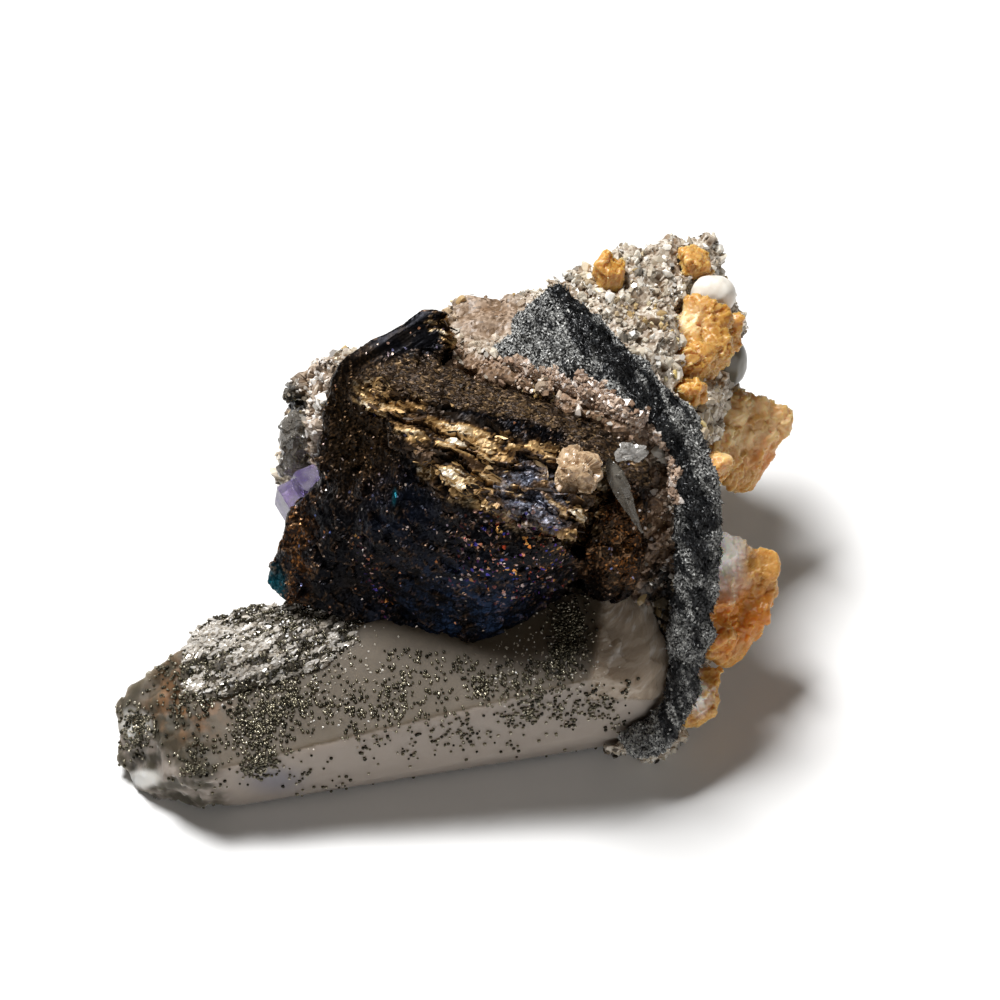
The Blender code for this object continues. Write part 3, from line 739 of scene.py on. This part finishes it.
def ore_zones(points):
    """Where the ore is ledged, gritty, rusty, blue and so on, drawn in the display view."""
    seen = as_seen(points)
    loose = ragged(points)
    along, down = down_ledges(points)
    reach = np.interp(along, [-2, 3, 10, 16], [2.0, 3.0, 8.5, 9.5])
    blade = band(seen, [(-20.0, 16.4), (-6.2, 22.2)], 2.3, 0.15)
    ledge = eased(-1.2, 0.0, down) * (1 - eased(0.85, 1.1, down / reach)) * eased(-3, 1, along)
    ledge = ledge * (1 - eased(28.0, 31.0, along))
    # The hollow under the top band has neither band nor sheets, and its ledge colour is kept dark there as
    # painted shade.
    hollow = band(seen, [(-8.0, 10.8), (0.0, 9.2), (7.0, 7.6)], 0.9)
    top = band(loose, [(-15.0, 16.8), (-6.0, 13.4), (6.0, 9.8), (18.0, 4.2)], 2.5)
    top = top * (1 - blade) * (1 - hollow)
    right_side = ((14.0, -4.2), (4.2, 6.5))
    return {
        "ledge": np.maximum(ledge * (1 - blade), zone(loose, (0.9, (-6.4, 20.6), (1.3, 2.4)))),
        "band": top, "blade": blade, "hollow": hollow,
        "rust": zone(loose, (1, (-25.5, -5.0), (2.6, 7.5), 0.6), (0.8, *right_side)),
        "block": zone(loose, (1, (-17.0, 9.0), (5.4, 8.0), 0.5), (1, *right_side)),
        "blue": zone(loose, (1, (-4.5, -14.0), (8.5, 5.5), 0.8), (0.4, (-12.0, -1.0), (4.0, 5.0), 0.8)),
        "teal": zone(seen, (1, (-27.3, -10.6), (1.4, 2.4), 0.6), (1, (-12.6, 0.4), (0.3, 1.0), 0.3)),
        "steel": zone(loose, (1, (3.6, 1.2), (3.6, 3.2), 0.6), (0.8, (5.0, -1.6), (3.0, 2.0), 0.6)),
        "glint": zone(loose, (1, (1.8, -6.6), (5.6, 4.4), 0.7),
                      (0.6, [(-16.8, -5.0), (-13.8, -13.0)], 0.9, 0.8)),
        "face": np.clip(1 - ledge - top, 0, 1),
        "dull": np.maximum(ledge, top),
        "calm": 0.26 * np.maximum(ledge, blade),
    }


def ledged(points):
    """Where the ore's ledges are, without the hollow at their head."""
    zones = ore_zones(points)
    return zones["ledge"] * (1 - zones["hollow"])


# The ore's lower edge as seen, from left to right. The lip over it sinks this far away from the eye,
# whole at the edge and fading out over the rise above it and between the places at either side.
LIP_ACROSS = [-27.6, -20.4, -13.2, -8.4, -4.8, -1.2, 2.4, 6.0, 10.8]
LIP_UP = [-10.8, -12.0, -14.4, -15.6, -17.4, -17.4, -15.6, -13.4, -11.8]
LIP_SINK = 5.2
LIP_RISE = 10.0
LIP_LEFT = (-22.0, -14.0)
LIP_RIGHT = (13.0, 9.0)


def settled(skin):
    """The ore with its front lip let down along the line of sight, so that it rests on the quartz."""
    seen = as_seen(skin.points)
    rise = seen[:, 1] - np.interp(seen[:, 0], LIP_ACROSS, LIP_UP)
    share = (1 - eased(0.0, LIP_RISE, rise)) * eased(*LIP_LEFT, seen[:, 0]) * eased(*LIP_RIGHT, seen[:, 0])
    return skinned(skin.points + unit(skin.points - EYE) * (LIP_SINK * share)[:, None], skin.faces)


def arsenopyrite_skin():
    """The ore: facets all over, broken sheets on the ledges, columns at the right and grooves along
    the blade. A sheet or chip is a cell of crystals(), drawn out along the ledges."""
    skin = settled(refined("arsenopyrite", *ORE_NET))
    points = skin.points
    seen = as_seen(points)
    zones = ore_zones(points)
    along, down = down_ledges(points)
    drawn = drawn_out(points, LEDGE_WAY, LEDGE_STRETCH)
    _, crack, _, sheet = crystals(drawn, 1.0, 21)
    chip = crystals(drawn, 0.5, 24)[3]
    step = past_whole(down / LEDGE_SPACING + 0.5 * lumps(points, 4.5, 20) + 0.36 * sheet + 0.16 * chip)
    column = past_whole((seen[:, 0] - 0.15 * seen[:, 1]) / COLUMN_WIDTH + 0.5 * lumps(points, 2.5, 23))
    comb = zone(seen, (1, (7.2, 7.4), (4.2, 1.5), 0.4, -0.35), (1, (8.7, -4.8), (2.4, 1.3)))
    tooth = past_whole(along / TOOTH_WIDTH + 0.3 * lumps(points, 1.5, 28))
    bar = drawn_out(points, BLADE_WAY, BLADE_STRETCH)
    fibre = drawn_out(points, LEDGE_WAY, FIBRE_STRETCH)
    streak = 0.42 + 0.25 * lumps(fibre, 0.5, 17) + 0.25 * lumps(points, 0.55, 18)
    streak = streak + 0.55 * (mixed(np.floor(points / 0.25), 16) - 0.5)
    plain = 1 - zones["blade"]
    height = (
        0.3 * lumps(points, 3.5, 25) * (1 - 0.85 * zones["blade"])
        + plain * 0.35 * facets(points, 1.7, 26) + plain * 0.24 * facets(points, 0.7, 27)
        + zones["ledge"] * (LEDGE_HEIGHT * (step - 0.5) + 0.36 * (sheet - 0.5) + 0.16 * (chip - 0.5))
        + zones["block"] * 0.22 * (column - 0.5) + comb * 0.2 * (tooth - 0.5)
        + zones["blade"] * (0.16 * lumps(bar, 0.9, 29) + 0.12 * facets(bar, 0.7, 15))
    )
    whole = raised(skin, height)
    # Painted shade: the ledge colour's mark is held dark at the foot of each step, in the cracks between
    # sheets and in the shaded hollow; elsewhere it is each sheet's and chip's own tone.
    crest = eased(0.0, 0.4, step) * eased(0.0, 0.08, crack) * (0.15 + 0.45 * sheet + 0.4 * chip)
    crest = crest * (0.22 + 1.1 * eased(-0.4, 0.5, lumps(drawn, 1.6, 19)))
    crest = crest + 0.1 * blot(seen, (-9.5, 8.5), (5.0, 3.5)) * chip
    crest = crest * (1 - comb) + comb * (0.25 + 0.5 * tooth)
    # Painted highlight: corners that stand out on the main face are coloured paler brown, most where it is
    # rusty.
    edge = eased(0.02, 0.06, bulging(whole)) * zones["face"] * (0.25 + 0.75 * zones["rust"])
    marks = {
        **zones, "crest": np.clip(crest * (1 - 0.85 * zones["hollow"]), 0, 1),
        "streak": np.clip(streak, 0, 1), "edge": edge,
    }
    piece("arsenopyrite_faces", whole, TARNISH, ["arsenopyrite"], marks=marks)
    return whole


def ore_grit(skin):
    """Small chips of ore standing on its ledges and its top band."""
    def marks(places):
        own = own_number(places, 30)
        crest = own * (0.1 + 0.6 * eased(-0.5, 0.4, lumps(places, 2.0, 31)))
        return {**ore_zones(places), "crest": crest, "streak": 0.15 + 0.5 * own, "edge": 0 * own}

    scattered("arsenopyrite_sheets", skin, plate(), 800, 205, TARNISH,
              (0.5, 1.1), ledged, (1.8, 0.5, 0.12), 0.02, LEDGE_WAY, 0.1, 0.08, marks)
    scattered("arsenopyrite_chips", skin, shard(), 5000, 201, TARNISH,
              (0.2, 0.5), lambda spots: ore_zones(spots)["band"], (2.0, 1.0, 0.5), 0.03, LEDGE_WAY, 0.3,
              marks=marks)


def rock_skin():
    """The rock: lumps and broken facets of two sizes, smoother on its beige bulge."""
    skin = refined("mica_rock", *ROCK_NET)
    smooth = beige_bulge(skin.points)
    broken = 0.7 * facets(skin.points, 2.6, 32, 0.65) + 0.35 * facets(skin.points, 1.1, 33, 0.65)
    height = 0.5 * lumps(skin.points, 4.0, 31) + (1 - 0.8 * smooth) * broken
    whole = raised(skin, height + smooth * 0.6 * lumps(skin.points, 1.5, 34))
    # Painted shade: corners sunk below their neighbours are marked, and the rock's colour is dark brown
    # there.
    marks = {**rock_zones(whole.points), "hollow": eased(-0.01, -0.06, bulging(whole))}
    piece("rock_body", whole, ROCK, ["mica_rock"], marks=marks)
    return whole


def beige_bulge(points):
    """The smooth beige bulge at the rock's top, as seen."""
    return blot(ragged(points), (-1.5, 22.3), (5.0, 3.2))


def rock_zones(points):
    """Where the rock's grains are pink, where dark and where yellow."""
    loose = ragged(points, 1.6)
    pink = zone(loose, (1, [(-12.0, 17.0), (-4.0, 15.5), (6.0, 11.0), (16.0, 8.0)], 3.0),
                (1, [(19.0, 2.0), (18.5, -12.0)], 2.4), (0.6, [(-22.2, 16.5), (-21.0, 4.0)], 2.2))
    yellow = zone(loose, (1, (13.0, 27.5), (3.0, 2.0)), (1, (22.6, 14.0), (2.2, 9.0)))
    yellow = np.maximum(yellow, blot(as_seen(points), (1.4, 23.7), (0.8, 1.0)))
    return {
        "pink": np.maximum(pink, 0.8 * beige_bulge(points)),
        "dark": zone(loose, (1, (-25.6, 12.0), (1.8, 3.2)), (1, (19.6, -12.0), (2.0, 4.6))),
        "yellow": np.maximum(yellow, 0.7 * eased(0.25, 0.5, lumps(points, 4.5, 37))),
    }


def peppered(places):
    """The rock's zones at each grain, with a few grains dark anywhere."""
    zones = rock_zones(places)
    odd = own_number(places, 35)
    zones["dark"] = np.maximum(0.9 * zones["dark"], 0.7 * (odd < 0.05))
    zones["yellow"] = zones["yellow"] * (odd > 0.45)
    strip = band(as_seen(places), [(-22.2, 16.5), (-21.4, 4.0)], 2.6)
    own = 0.22 + 0.75 * own_number(places, 36) + 0.4 * strip - 0.3 * beige_bulge(places)
    zones["grain"] = np.clip(own, 0, 1)
    return zones


def rock_grains(skin):
    """Sugary grains all over the rock, rounder lumps among them, and mica plates. The beige bulge
    has few of them, and the pink zones few lumps."""
    def fewer(spots):
        return 1 - 0.95 * beige_bulge(spots)

    def patchy(spots):
        return fewer(spots) * (0.15 + 0.85 * eased(-0.2, 0.2, lumps(spots, 2.2, 40)))

    def plainer(spots):
        return fewer(spots) * (1 - 0.8 * rock_zones(spots)["pink"])

    scattered("rock_grains", skin, shard(), 11000, 41, GRAINS, (0.25, 0.8), patchy,
              jitter=0.12, marks=peppered)
    scattered("rock_nuggets", skin, ball(), 3800, 45, GRAINS, (0.6, 1.6), plainer,
              (1.3, 1.0, 0.7), -0.22, jitter=0.12, marks=peppered)
    scattered("rock_mica", skin, plate(), 3600, 49, MICA, (0.35, 0.9), fewer,
              (1.0, 0.8, 0.12), 0.2, RIGHT, 0.7, 0.06)


# The seam's needles lie along this line, which falls to the right as seen.
SEAM_WAY = RIGHT * 0.42 - UPWARD * 0.9


def frosted_seam(points):
    """Where the black seam is frosted grey: in patches, thick at its top, not on its outer edge."""
    seen = as_seen(points)
    drawn = drawn_out(points, SEAM_WAY, 0.7)
    patches = 0.8 * lumps(drawn, 1.5, 56) + 0.5 * lumps(drawn, 0.6, 57)
    top = blot(seen, (4.5, 19.5), (7.5, 5.0), 0.6)
    edge = band(seen, [(6.7, 25.8), (13.0, 17.5), (21.5, 6.0), (24.5, -8.0)], 1.3)
    low = 0.08 * (1 - eased(-18.0, 4.0, seen[:, 1]))
    return np.clip(eased(-0.2, 0.2, patches + 0.25 * top + low) - edge, 0, 1) * (1 - seam_druse(points))


def seam_druse(points):
    """Where pink grains cover the inner edge of the black seam."""
    return band(ragged(points), [(-3.0, 16.0), (6.0, 13.6), (12.0, 11.6), (17.4, 7.4), (19.6, 1.0)], 1.7)


def needle_seam():
    """The black seam: a rough body under matted needles, frosted with grey grains in patches."""
    skin = refined("black_needle_seam", *SEAM_NET)
    fibre = drawn_out(skin.points, SEAM_WAY, 0.8)
    height = 0.6 * lumps(skin.points, 2.6, 51) + 0.3 * facets(skin.points, 1.3, 52, 0.8)
    whole = raised(skin, height + 0.2 * lumps(fibre, 0.55, 53))
    piece("seam_body", whole, NEEDLES, ["black_needle_seam"],
          marks={"frost": frosted_seam(whole.points)})

    def frosty(places):
        return {"frost": frosted_seam(places) * (own_number(places, 58) > 0.35)}

    def pale(places):
        return {"frost": 0.3 + 0.7 * own_number(places, 60)}

    scattered("seam_needles", whole, needle(), 13000, 53, NEEDLES, (0.5, 1.4),
              lambda spots: 1 - 0.95 * seam_druse(spots), (1.0, 0.1, 0.1), 0.05, SEAM_WAY, 0.4, 0.03,
              frosty)
    scattered("seam_grains", whole, shard(), 8000, 57, NEEDLES, (0.16, 0.5),
              lambda spots: 0.02 + 0.98 * frosted_seam(spots), jitter=0.15, marks=pale)
    scattered("seam_druse", whole, shard(), 3000, 61, GRAINS, (0.4, 1.1), seam_druse,
              jitter=0.1, marks=lambda places: {"pink": np.ones(len(places))})


# The broken right end of the quartz, as seen: the point that its curved ridges are ringed about.
FRACTURE_CENTRE = np.array([15.0, -10.0])


def quartz_skin():
    """The quartz: flat frosted faces with faint cross-grooves, ringed ridges at the broken end, and
    a rough stub."""
    skin = refined("quartz_crystal", *QUARTZ_NET)
    seen = as_seen(skin.points)
    stub = 1 - eased(-37.5, -33.5, seen[:, 0] + 0.3 * (seen[:, 1] + 27))
    end = eased(12.0, 13.2, seen[:, 0] - 0.15 * (seen[:, 1] + 10)) * (seen[:, 1] > -24)
    away = seen - FRACTURE_CENTRE
    far = np.hypot(away[:, 0], away[:, 1] * 0.8)
    rings = np.abs(np.sin(far * 1.5 + 0.8 * lumps(skin.points, 4.0, 61)))
    turn = np.arctan2(away[:, 1], away[:, 0]) + 0.12 * far
    height = (
        0.02 * lumps(skin.points, 0.8, 62)
        + stub * (0.6 * lumps(skin.points, 2.2, 63) + 0.3 * facets(skin.points, 1.2, 64))
        + end * (0.16 * rings + 0.35 * facets(skin.points, 2.8, 65, 0.4, 0.2) - 0.2)
    )
    whole = raised(skin, height)
    # Painted light: faces that turn forward and not up are coloured paler, in place of light let through
    # the quartz and thrown up from the floor.
    front = eased(0.2, 0.5, -skin.normals[:, 1]) * (1 - eased(0.5, 0.8, skin.normals[:, 2]))
    marks = {
        "front": front * (1 - end), "stub": stub, "end": end, "turn": turn * 5, "far": far * 0.5,
        "smoke": zone(seen, (0.8, (-27.0, -33.6), (3.0, 1.4), 0.8)),
        "rust": zone(seen, (0.7, (-37.5, -24.0), (4.0, 4.0), 0.7), (0.8, (18.4, -10.8), (1.2, 1.0), 0.7)),
        "white": zone(seen, (1, (-43.8, -27.0), (1.8, 1.8)), (1, (-42.6, -33.4), (1.8, 1.0))),
    }
    piece("quartz_faces", whole, QUARTZ, ["quartz_crystal"], True, marks)
    return whole


# Where the dark balls sit on the quartz, as seen: middle, radii, how many, and how clustered.
BALL_FIELDS = [
    ((-31.0, -21.0), (7.0, 3.5), 520, 0.4), ((-28.0, -28.5), (4.0, 4.5), 620, 0.6),
    ((-38.0, -22.5), (3.5, 4.0), 240, 0.5), ((-43.5, -27.5), (2.0, 3.0), 260, 0.3),
    ((-36.0, -31.0), (3.5, 3.0), 160, 0.5), ((-24.0, -22.0), (5.0, 6.0), 240, 0.6),
    ((-9.0, -21.0), (6.0, 3.0), 130, 0.7), ((3.0, -21.5), (6.5, 2.6), 320, 0.5),
    ((8.4, -16.0), (2.0, 4.2), 560, 0.3), ((7.0, -25.0), (8.5, 2.6), 300, 0.6),
    ((-7.0, -27.5), (11.0, 3.6), 260, 0.6), ((-22.0, -33.5), (7.0, 1.8), 40, 0.2),
    ((-14.0, -24.0), (12.0, 5.0), 200, 0.3),
]
BALL_WIDTHS = (0.26, 0.5)
BALL_RISE = 0.1
BALL_HUBS = 14
HIDDEN_BALLS = 700


def quartz_balls(skin):
    """Balls of sulphide on the quartz, in loose clusters, sunk a quarter into it, and white specks."""
    tree = BVHTree.FromPolygons(skin.points.tolist(), skin.faces.tolist())
    dice = np.random.default_rng(71)
    places = []
    for centre, radii, count, clustered in BALL_FIELDS:
        hubs = np.array(centre) + dice.uniform(-1, 1, (BALL_HUBS, 2)) * np.array(radii)
        for _ in range(count):
            across, up = np.array(centre) + dice.normal(size=2) * 0.5 * np.array(radii)
            if dice.random() < clustered:
                across, up = hubs[dice.integers(len(hubs))] + dice.normal(size=2) * 0.6
            way = RIGHT * across + UPWARD * up + VIEW_CENTRE - EYE
            spot, normal, _, _ = tree.ray_cast(Vector(EYE), Vector(way))
            if spot is not None:
                places.append(np.array(spot) + np.array(normal) * BALL_RISE)

    hidden, normals = sprinkled(skin, HIDDEN_BALLS, 72, lambda spots, facing: facing @ FORWARD > 0.1)
    places = np.concatenate([np.array(places), hidden + normals * BALL_RISE])
    shape = ball()
    sizes = dice.uniform(*BALL_WIDTHS, (len(places), 1)) * np.ones((1, 3))
    turned = frames_for(dice.normal(size=places.shape), dice.normal(size=places.shape))
    marks = {"grain": np.repeat(dice.random(len(places)), len(shape[0]))}
    piece("quartz_balls", strewn(shape, places, turned, sizes), BALLS, (), True, marks)

    def dusted(spots):
        fields = ((1, (-24.0, -21.0), (9.0, 6.0), 0.8), (1, (5.0, -19.0), (6.0, 4.0), 0.8))
        return zone(as_seen(spots), *fields)

    scattered("quartz_specks", skin, shard(), 1600, 75, GRAINS, (0.12, 0.34), dusted,
              (1.4, 1.0, 0.8), 0.05)


# The crust's middle, radii, softness and turn as seen. Its solid is moved and let down a little, and
# sunk into the quartz outside them.
CRUST_SPOT = ((-28.4, -15.2), (10.0, 3.2), 0.5, 0.22)
CRUST_SHIFT = np.array([-1.4, 1.0, 0.0])
CRUST_SINK = 2.4
CRUST_REST = 0.7


def crust():
    """The thin crust: dark grains with white flakes in slanting streaks, on a body that is sunk into
    the quartz round its rim."""
    skin = refined("mica_crust", *CRUST_NET)
    loose = ragged(skin.points, 1.4, CRUST_SHIFT)
    sunk = CRUST_REST + CRUST_SINK * (1 - blot(loose, *CRUST_SPOT))
    points = skin.points + CRUST_SHIFT - np.array([[0.0, 0.0, 1.0]]) * sunk[:, None]
    height = 0.25 * lumps(points, 2.0, 81) + 0.35 * facets(points, 0.9, 82)
    whole = raised(skin._replace(points=points), height)
    still = np.zeros(len(whole.points))
    dark = 0.8 - 0.8 * streaks(whole.points)
    marks = {"grain": still + 0.2, "pink": still, "dark": dark, "yellow": still}
    piece("crust_body", whole, GRAINS, ["mica_crust"], marks=marks)

    def pale(places):
        return {"grain": 0.5 + 0.5 * own_number(places, 90)}

    scattered("crust_flakes", whole, plate(), 4500, 84, MICA, (0.25, 0.7),
              lambda spots: 0.05 + 0.95 * streaks(spots), (1.7, 0.7, 0.3), 0.08, RIGHT + 0.5 * UPWARD,
              0.3, 0.08, pale)
    scattered("crust_balls", whole, ball(), 3000, 88, BALLS, (0.24, 0.42),
              lambda spots: 1 - 0.9 * streaks(spots), jitter=0.02, smooth=True)


def streaks(points):
    """Slanting streaks of white on the crust: noise drawn out along a line of the display view."""
    seen = as_seen(points)
    slant = seen @ np.array([0.9, 0.43])
    drawn = np.stack([slant * 0.3, seen @ np.array([-0.43, 0.9]), points[:, 2] * 0.3], axis=1)
    value = 0.6 * lumps(drawn, 0.9, 91) + 0.6 * lumps(drawn, 0.4, 92)
    more = 0.6 * blot(seen, (-34.5, -16.5), (5.0, 2.6), 0.7)
    less = 0.35 * blot(seen, (-32.0, -12.6), (6.0, 2.0), 0.7)
    return eased(0.1, 0.4, value + (more - less))


def calcite_zones(places):
    """Where calcite is cream, white or deep orange, as seen."""
    seen = ragged(places)
    return {
        "cream": zone(seen, (1, (30.0, 8.5), (4.5, 4.5), 0.7), (1, (22.6, 22.0), (2.0, 2.0))),
        "white": zone(seen, (1, (26.6, -6.0), (2.8, 5.0), 0.6), (1, (23.4, -23.0), (1.4, 2.6))),
        "orange": zone(seen, (1, (29.0, -14.5), (4.0, 4.2), 0.7), (0.8, (32.6, 4.5), (3.0, 2.6), 0.7)),
    }


def calcite_skin(node, number):
    """A calcite piece in leaning blocky steps of two sizes, its surface softly waved and crumbly."""
    skin = refined(node, *CALCITE_NET)
    turn = np.array(Matrix.Rotation(0.6 + number, 3, "Z") @ Matrix.Rotation(0.5, 3, "X"))
    turned = skin.points @ turn + np.array([0.0, 0.3, 0.0]) * skin.points[:, 2:]
    coarse = crystals(turned, 2.1, 90 + number, True)[3]
    fine = crystals(turned, 1.0, 95 + number, True)[3]
    height = 0.5 * (coarse - 0.5) + 0.36 * (fine - 0.5) + 0.25 * lumps(skin.points, 2.4, 98)
    crumbs = 0.3 * facets(turned, 0.6, 99, 0.5, 0.4) + 0.2 * facets(turned, 0.38, 94, 0.5, 0.4)
    whole = raised(skin, height + crumbs)
    marks = calcite_zones(whole.points)
    # The height mark is each coarse block's own tone with painted light: raised places are paler and
    # hollows deeper orange.
    marks["height"] = np.clip(0.45 + 0.25 * (coarse - 0.5) + 2.5 * bulging(whole), 0, 1)
    piece(node + "_steps", whole, CALCITE, [node], True, marks)


def rounded(node, name, grey):
    """A smooth swelling growth: an ellipsoid over longitude and latitude, with shallow lumps."""
    low, high = (np.array(corner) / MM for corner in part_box(node))
    turns, rings = 96, 48
    way, fall = np.meshgrid(np.arange(turns) * math.tau / turns, np.arange(1, rings) * math.pi / rings)
    spokes = np.stack([np.sin(fall) * np.cos(way), np.sin(fall) * np.sin(way), np.cos(fall)], axis=2)
    spokes = np.concatenate([spokes.reshape(-1, 3), [[0, 0, 1], [0, 0, -1]]])
    swell = 0.91 + 0.06 * lumps(spokes, 0.8, 101) + 0.025 * lumps(spokes, 0.3, 102)
    points = (low + high) / 2 + spokes * (high - low) / 2 * swell[:, None]
    first = np.arange((rings - 2) * turns).reshape(-1, turns)
    after = np.roll(first, -1, axis=1)
    sides = np.stack([first, first + turns, after + turns, after], axis=2).reshape(-1, 4)
    ring = np.arange(turns)
    last = (rings - 2) * turns
    top = np.stack([ring, np.roll(ring, -1), np.full(turns, len(points) - 2)], axis=1)
    foot = np.stack([last + np.roll(ring, -1), last + ring, np.full(turns, len(points) - 1)], axis=1)
    faces = np.array([*sides.tolist(), *top.tolist(), *foot.tolist()], dtype=object)
    piece(name, (points, faces), PORCELAIN, [node], True, {"grey": np.full(len(points), grey)})


def chunk():
    """The pinkish lump of mica between the ledges, angular, all small bright facets."""
    skin = refined("pink_mica_chunk", *CHUNK_NET)
    height = 0.5 * facets(skin.points, 2.2, 114, 0.8) + 0.3 * facets(skin.points, 0.8, 111)
    whole = raised(skin, height + 0.2 * facets(skin.points, 0.4, 112))
    grain = 0.15 + 0.65 * crystals(whole.points, 0.4, 113)[3]
    still = np.zeros(len(grain))
    marks = {"grain": grain, "pink": still + 0.9, "dark": still, "yellow": still + 0.3}
    piece("pink_chunk_facets", whole, GRAINS, ["pink_mica_chunk"], marks=marks)


def splinter():
    """The grey splinter: its solid's skin drawn in to a point at its lower end, lightly chipped."""
    skin = refined("quartz_splinter", *CHUNK_NET)
    middle = skin.points.mean(axis=0)
    axis = np.linalg.svd(skin.points - middle, full_matrices=False)[2][0]
    way = -axis * np.sign(axis[2])
    along = (skin.points - middle) @ way
    spine = middle + along[:, None] * way
    share = (along - along.min()) / np.ptp(along)
    width = np.interp(share, [0, 0.15, 0.45, 0.8, 1], [0.7, 1.0, 0.9, 0.45, 0.1])
    points = spine + (skin.points - spine) * width[:, None]
    whole = raised(skinned(points, skin.faces), 0.2 * facets(points, 1.5, 121))
    piece("splinter_faces", whole, CLEAR, ["quartz_splinter"], marks={"pale": 0 * share})


def chipped(node, name, depth, pale):
    """A small piece of quartz, broken all round into facets of two sizes."""
    skin = refined(node, *CHUNK_NET)
    whole = raised(skin, depth * (facets(skin.points, 1.6, 125, 0.9) + 0.4 * facets(skin.points, 0.6, 126)))
    marks = {"pale": np.full(len(whole.points), pale)}
    piece(name, whole, CLEAR, [node], marks=marks)


def kept(node, material):
    """A CAD node whose shape is right, in its finished material."""
    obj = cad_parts[node]
    obj.data.materials.clear()
    obj.data.materials.append(material)


ore = arsenopyrite_skin()
ore_grit(ore)
rock = rock_skin()
rock_grains(rock)
needle_seam()
quartz = quartz_skin()
quartz_balls(quartz)
crust()
for number, node in enumerate(["orange_calcite_upper", "orange_calcite_middle", "orange_calcite_lower"]):
    calcite_skin(node, number)
for number in range(1, 5):
    calcite_skin(f"calcite_knob_{number}", number)
calcite_skin("pale_calcite_foot", 8)
rounded("white_calcite_disc", "disc_face", 0.0)
rounded("grey_calcite_ball", "ball_face", 1.0)
chunk()
splinter()
chipped("quartz_chip", "chip_faces", 0.5, 0.9)
chipped("side_quartz", "side_quartz_faces", 0.5, 0.2)
kept("fluorite", FLUORITE)


# Floor, light and camera

# Each lamp's place and width in metres, and its watts.
LAMPS = {"key": ((-0.13, 0.13, 0.455), 0.15, 3.5), "fill": ((0.22, -0.46, 0.14), 0.36, 0.64)}
SURROUND_COLOUR = "#ffeedb"
SURROUND_STRENGTH = 0.055
FLOOR_REACH = 3
SENSOR_WIDTH = 36.0
NEAREST_SEEN = 0.01


def lamp(name, place, size, energy):
    """A square lamp that faces the specimen."""
    data = bpy.data.lights.new(name, "AREA")
    data.size = size
    data.energy = energy
    light = bpy.data.objects.new(name, data)
    light.location = place
    light.rotation_euler = light.location.to_track_quat("Z", "Y").to_euler()
    bpy.context.scene.collection.objects.link(light)


def studio():
    """A white floor, a soft key light from above and behind, a weak one in front, a pale surround."""
    low = Vector(cad_box[0])
    mesh = bpy.data.meshes.new("floor")
    corners = [(x * FLOOR_REACH, y * FLOOR_REACH, low.z) for x, y in ((-1, -1), (1, -1), (1, 1), (-1, 1))]
    mesh.from_pydata(corners, [], [(0, 1, 2, 3)])
    floor = bpy.data.objects.new("floor", mesh)
    bpy.context.scene.collection.objects.link(floor)
    material, tree, _, fibre = started("matt_white_paper", (40.0, 3.0))
    tint = painted(tree, "#f4f4f3", [fibre, "#f7f7f7"])
    mesh.materials.append(finished(material, {"Roughness": 0.9}, {"Base Color": tint}))
    for name, settings in LAMPS.items():
        lamp(name, *settings)

    world = bpy.data.worlds.new("surround")
    world.use_nodes = True
    back = world.node_tree.nodes["Background"]
    back.inputs["Color"].default_value = linear(SURROUND_COLOUR)
    back.inputs["Strength"].default_value = SURROUND_STRENGTH
    bpy.context.scene.world = world
    bpy.context.scene.view_settings.view_transform = "Standard"


def display_camera():
    """A camera at the display view, as wide as its picture plane."""
    data = bpy.data.cameras.new("display")
    data.sensor_width = SENSOR_WIDTH
    data.lens = SENSOR_WIDTH * VIEW_DISTANCE / VIEW_WIDTH
    data.clip_start = NEAREST_SEEN
    camera = bpy.data.objects.new("display", data)
    camera.location = EYE * MM
    camera.rotation_euler = (math.radians(90) - VIEW_ELEVATION, 0.0, 0.0)
    bpy.context.scene.collection.objects.link(camera)
    bpy.context.scene.camera = camera


studio()
display_camera()
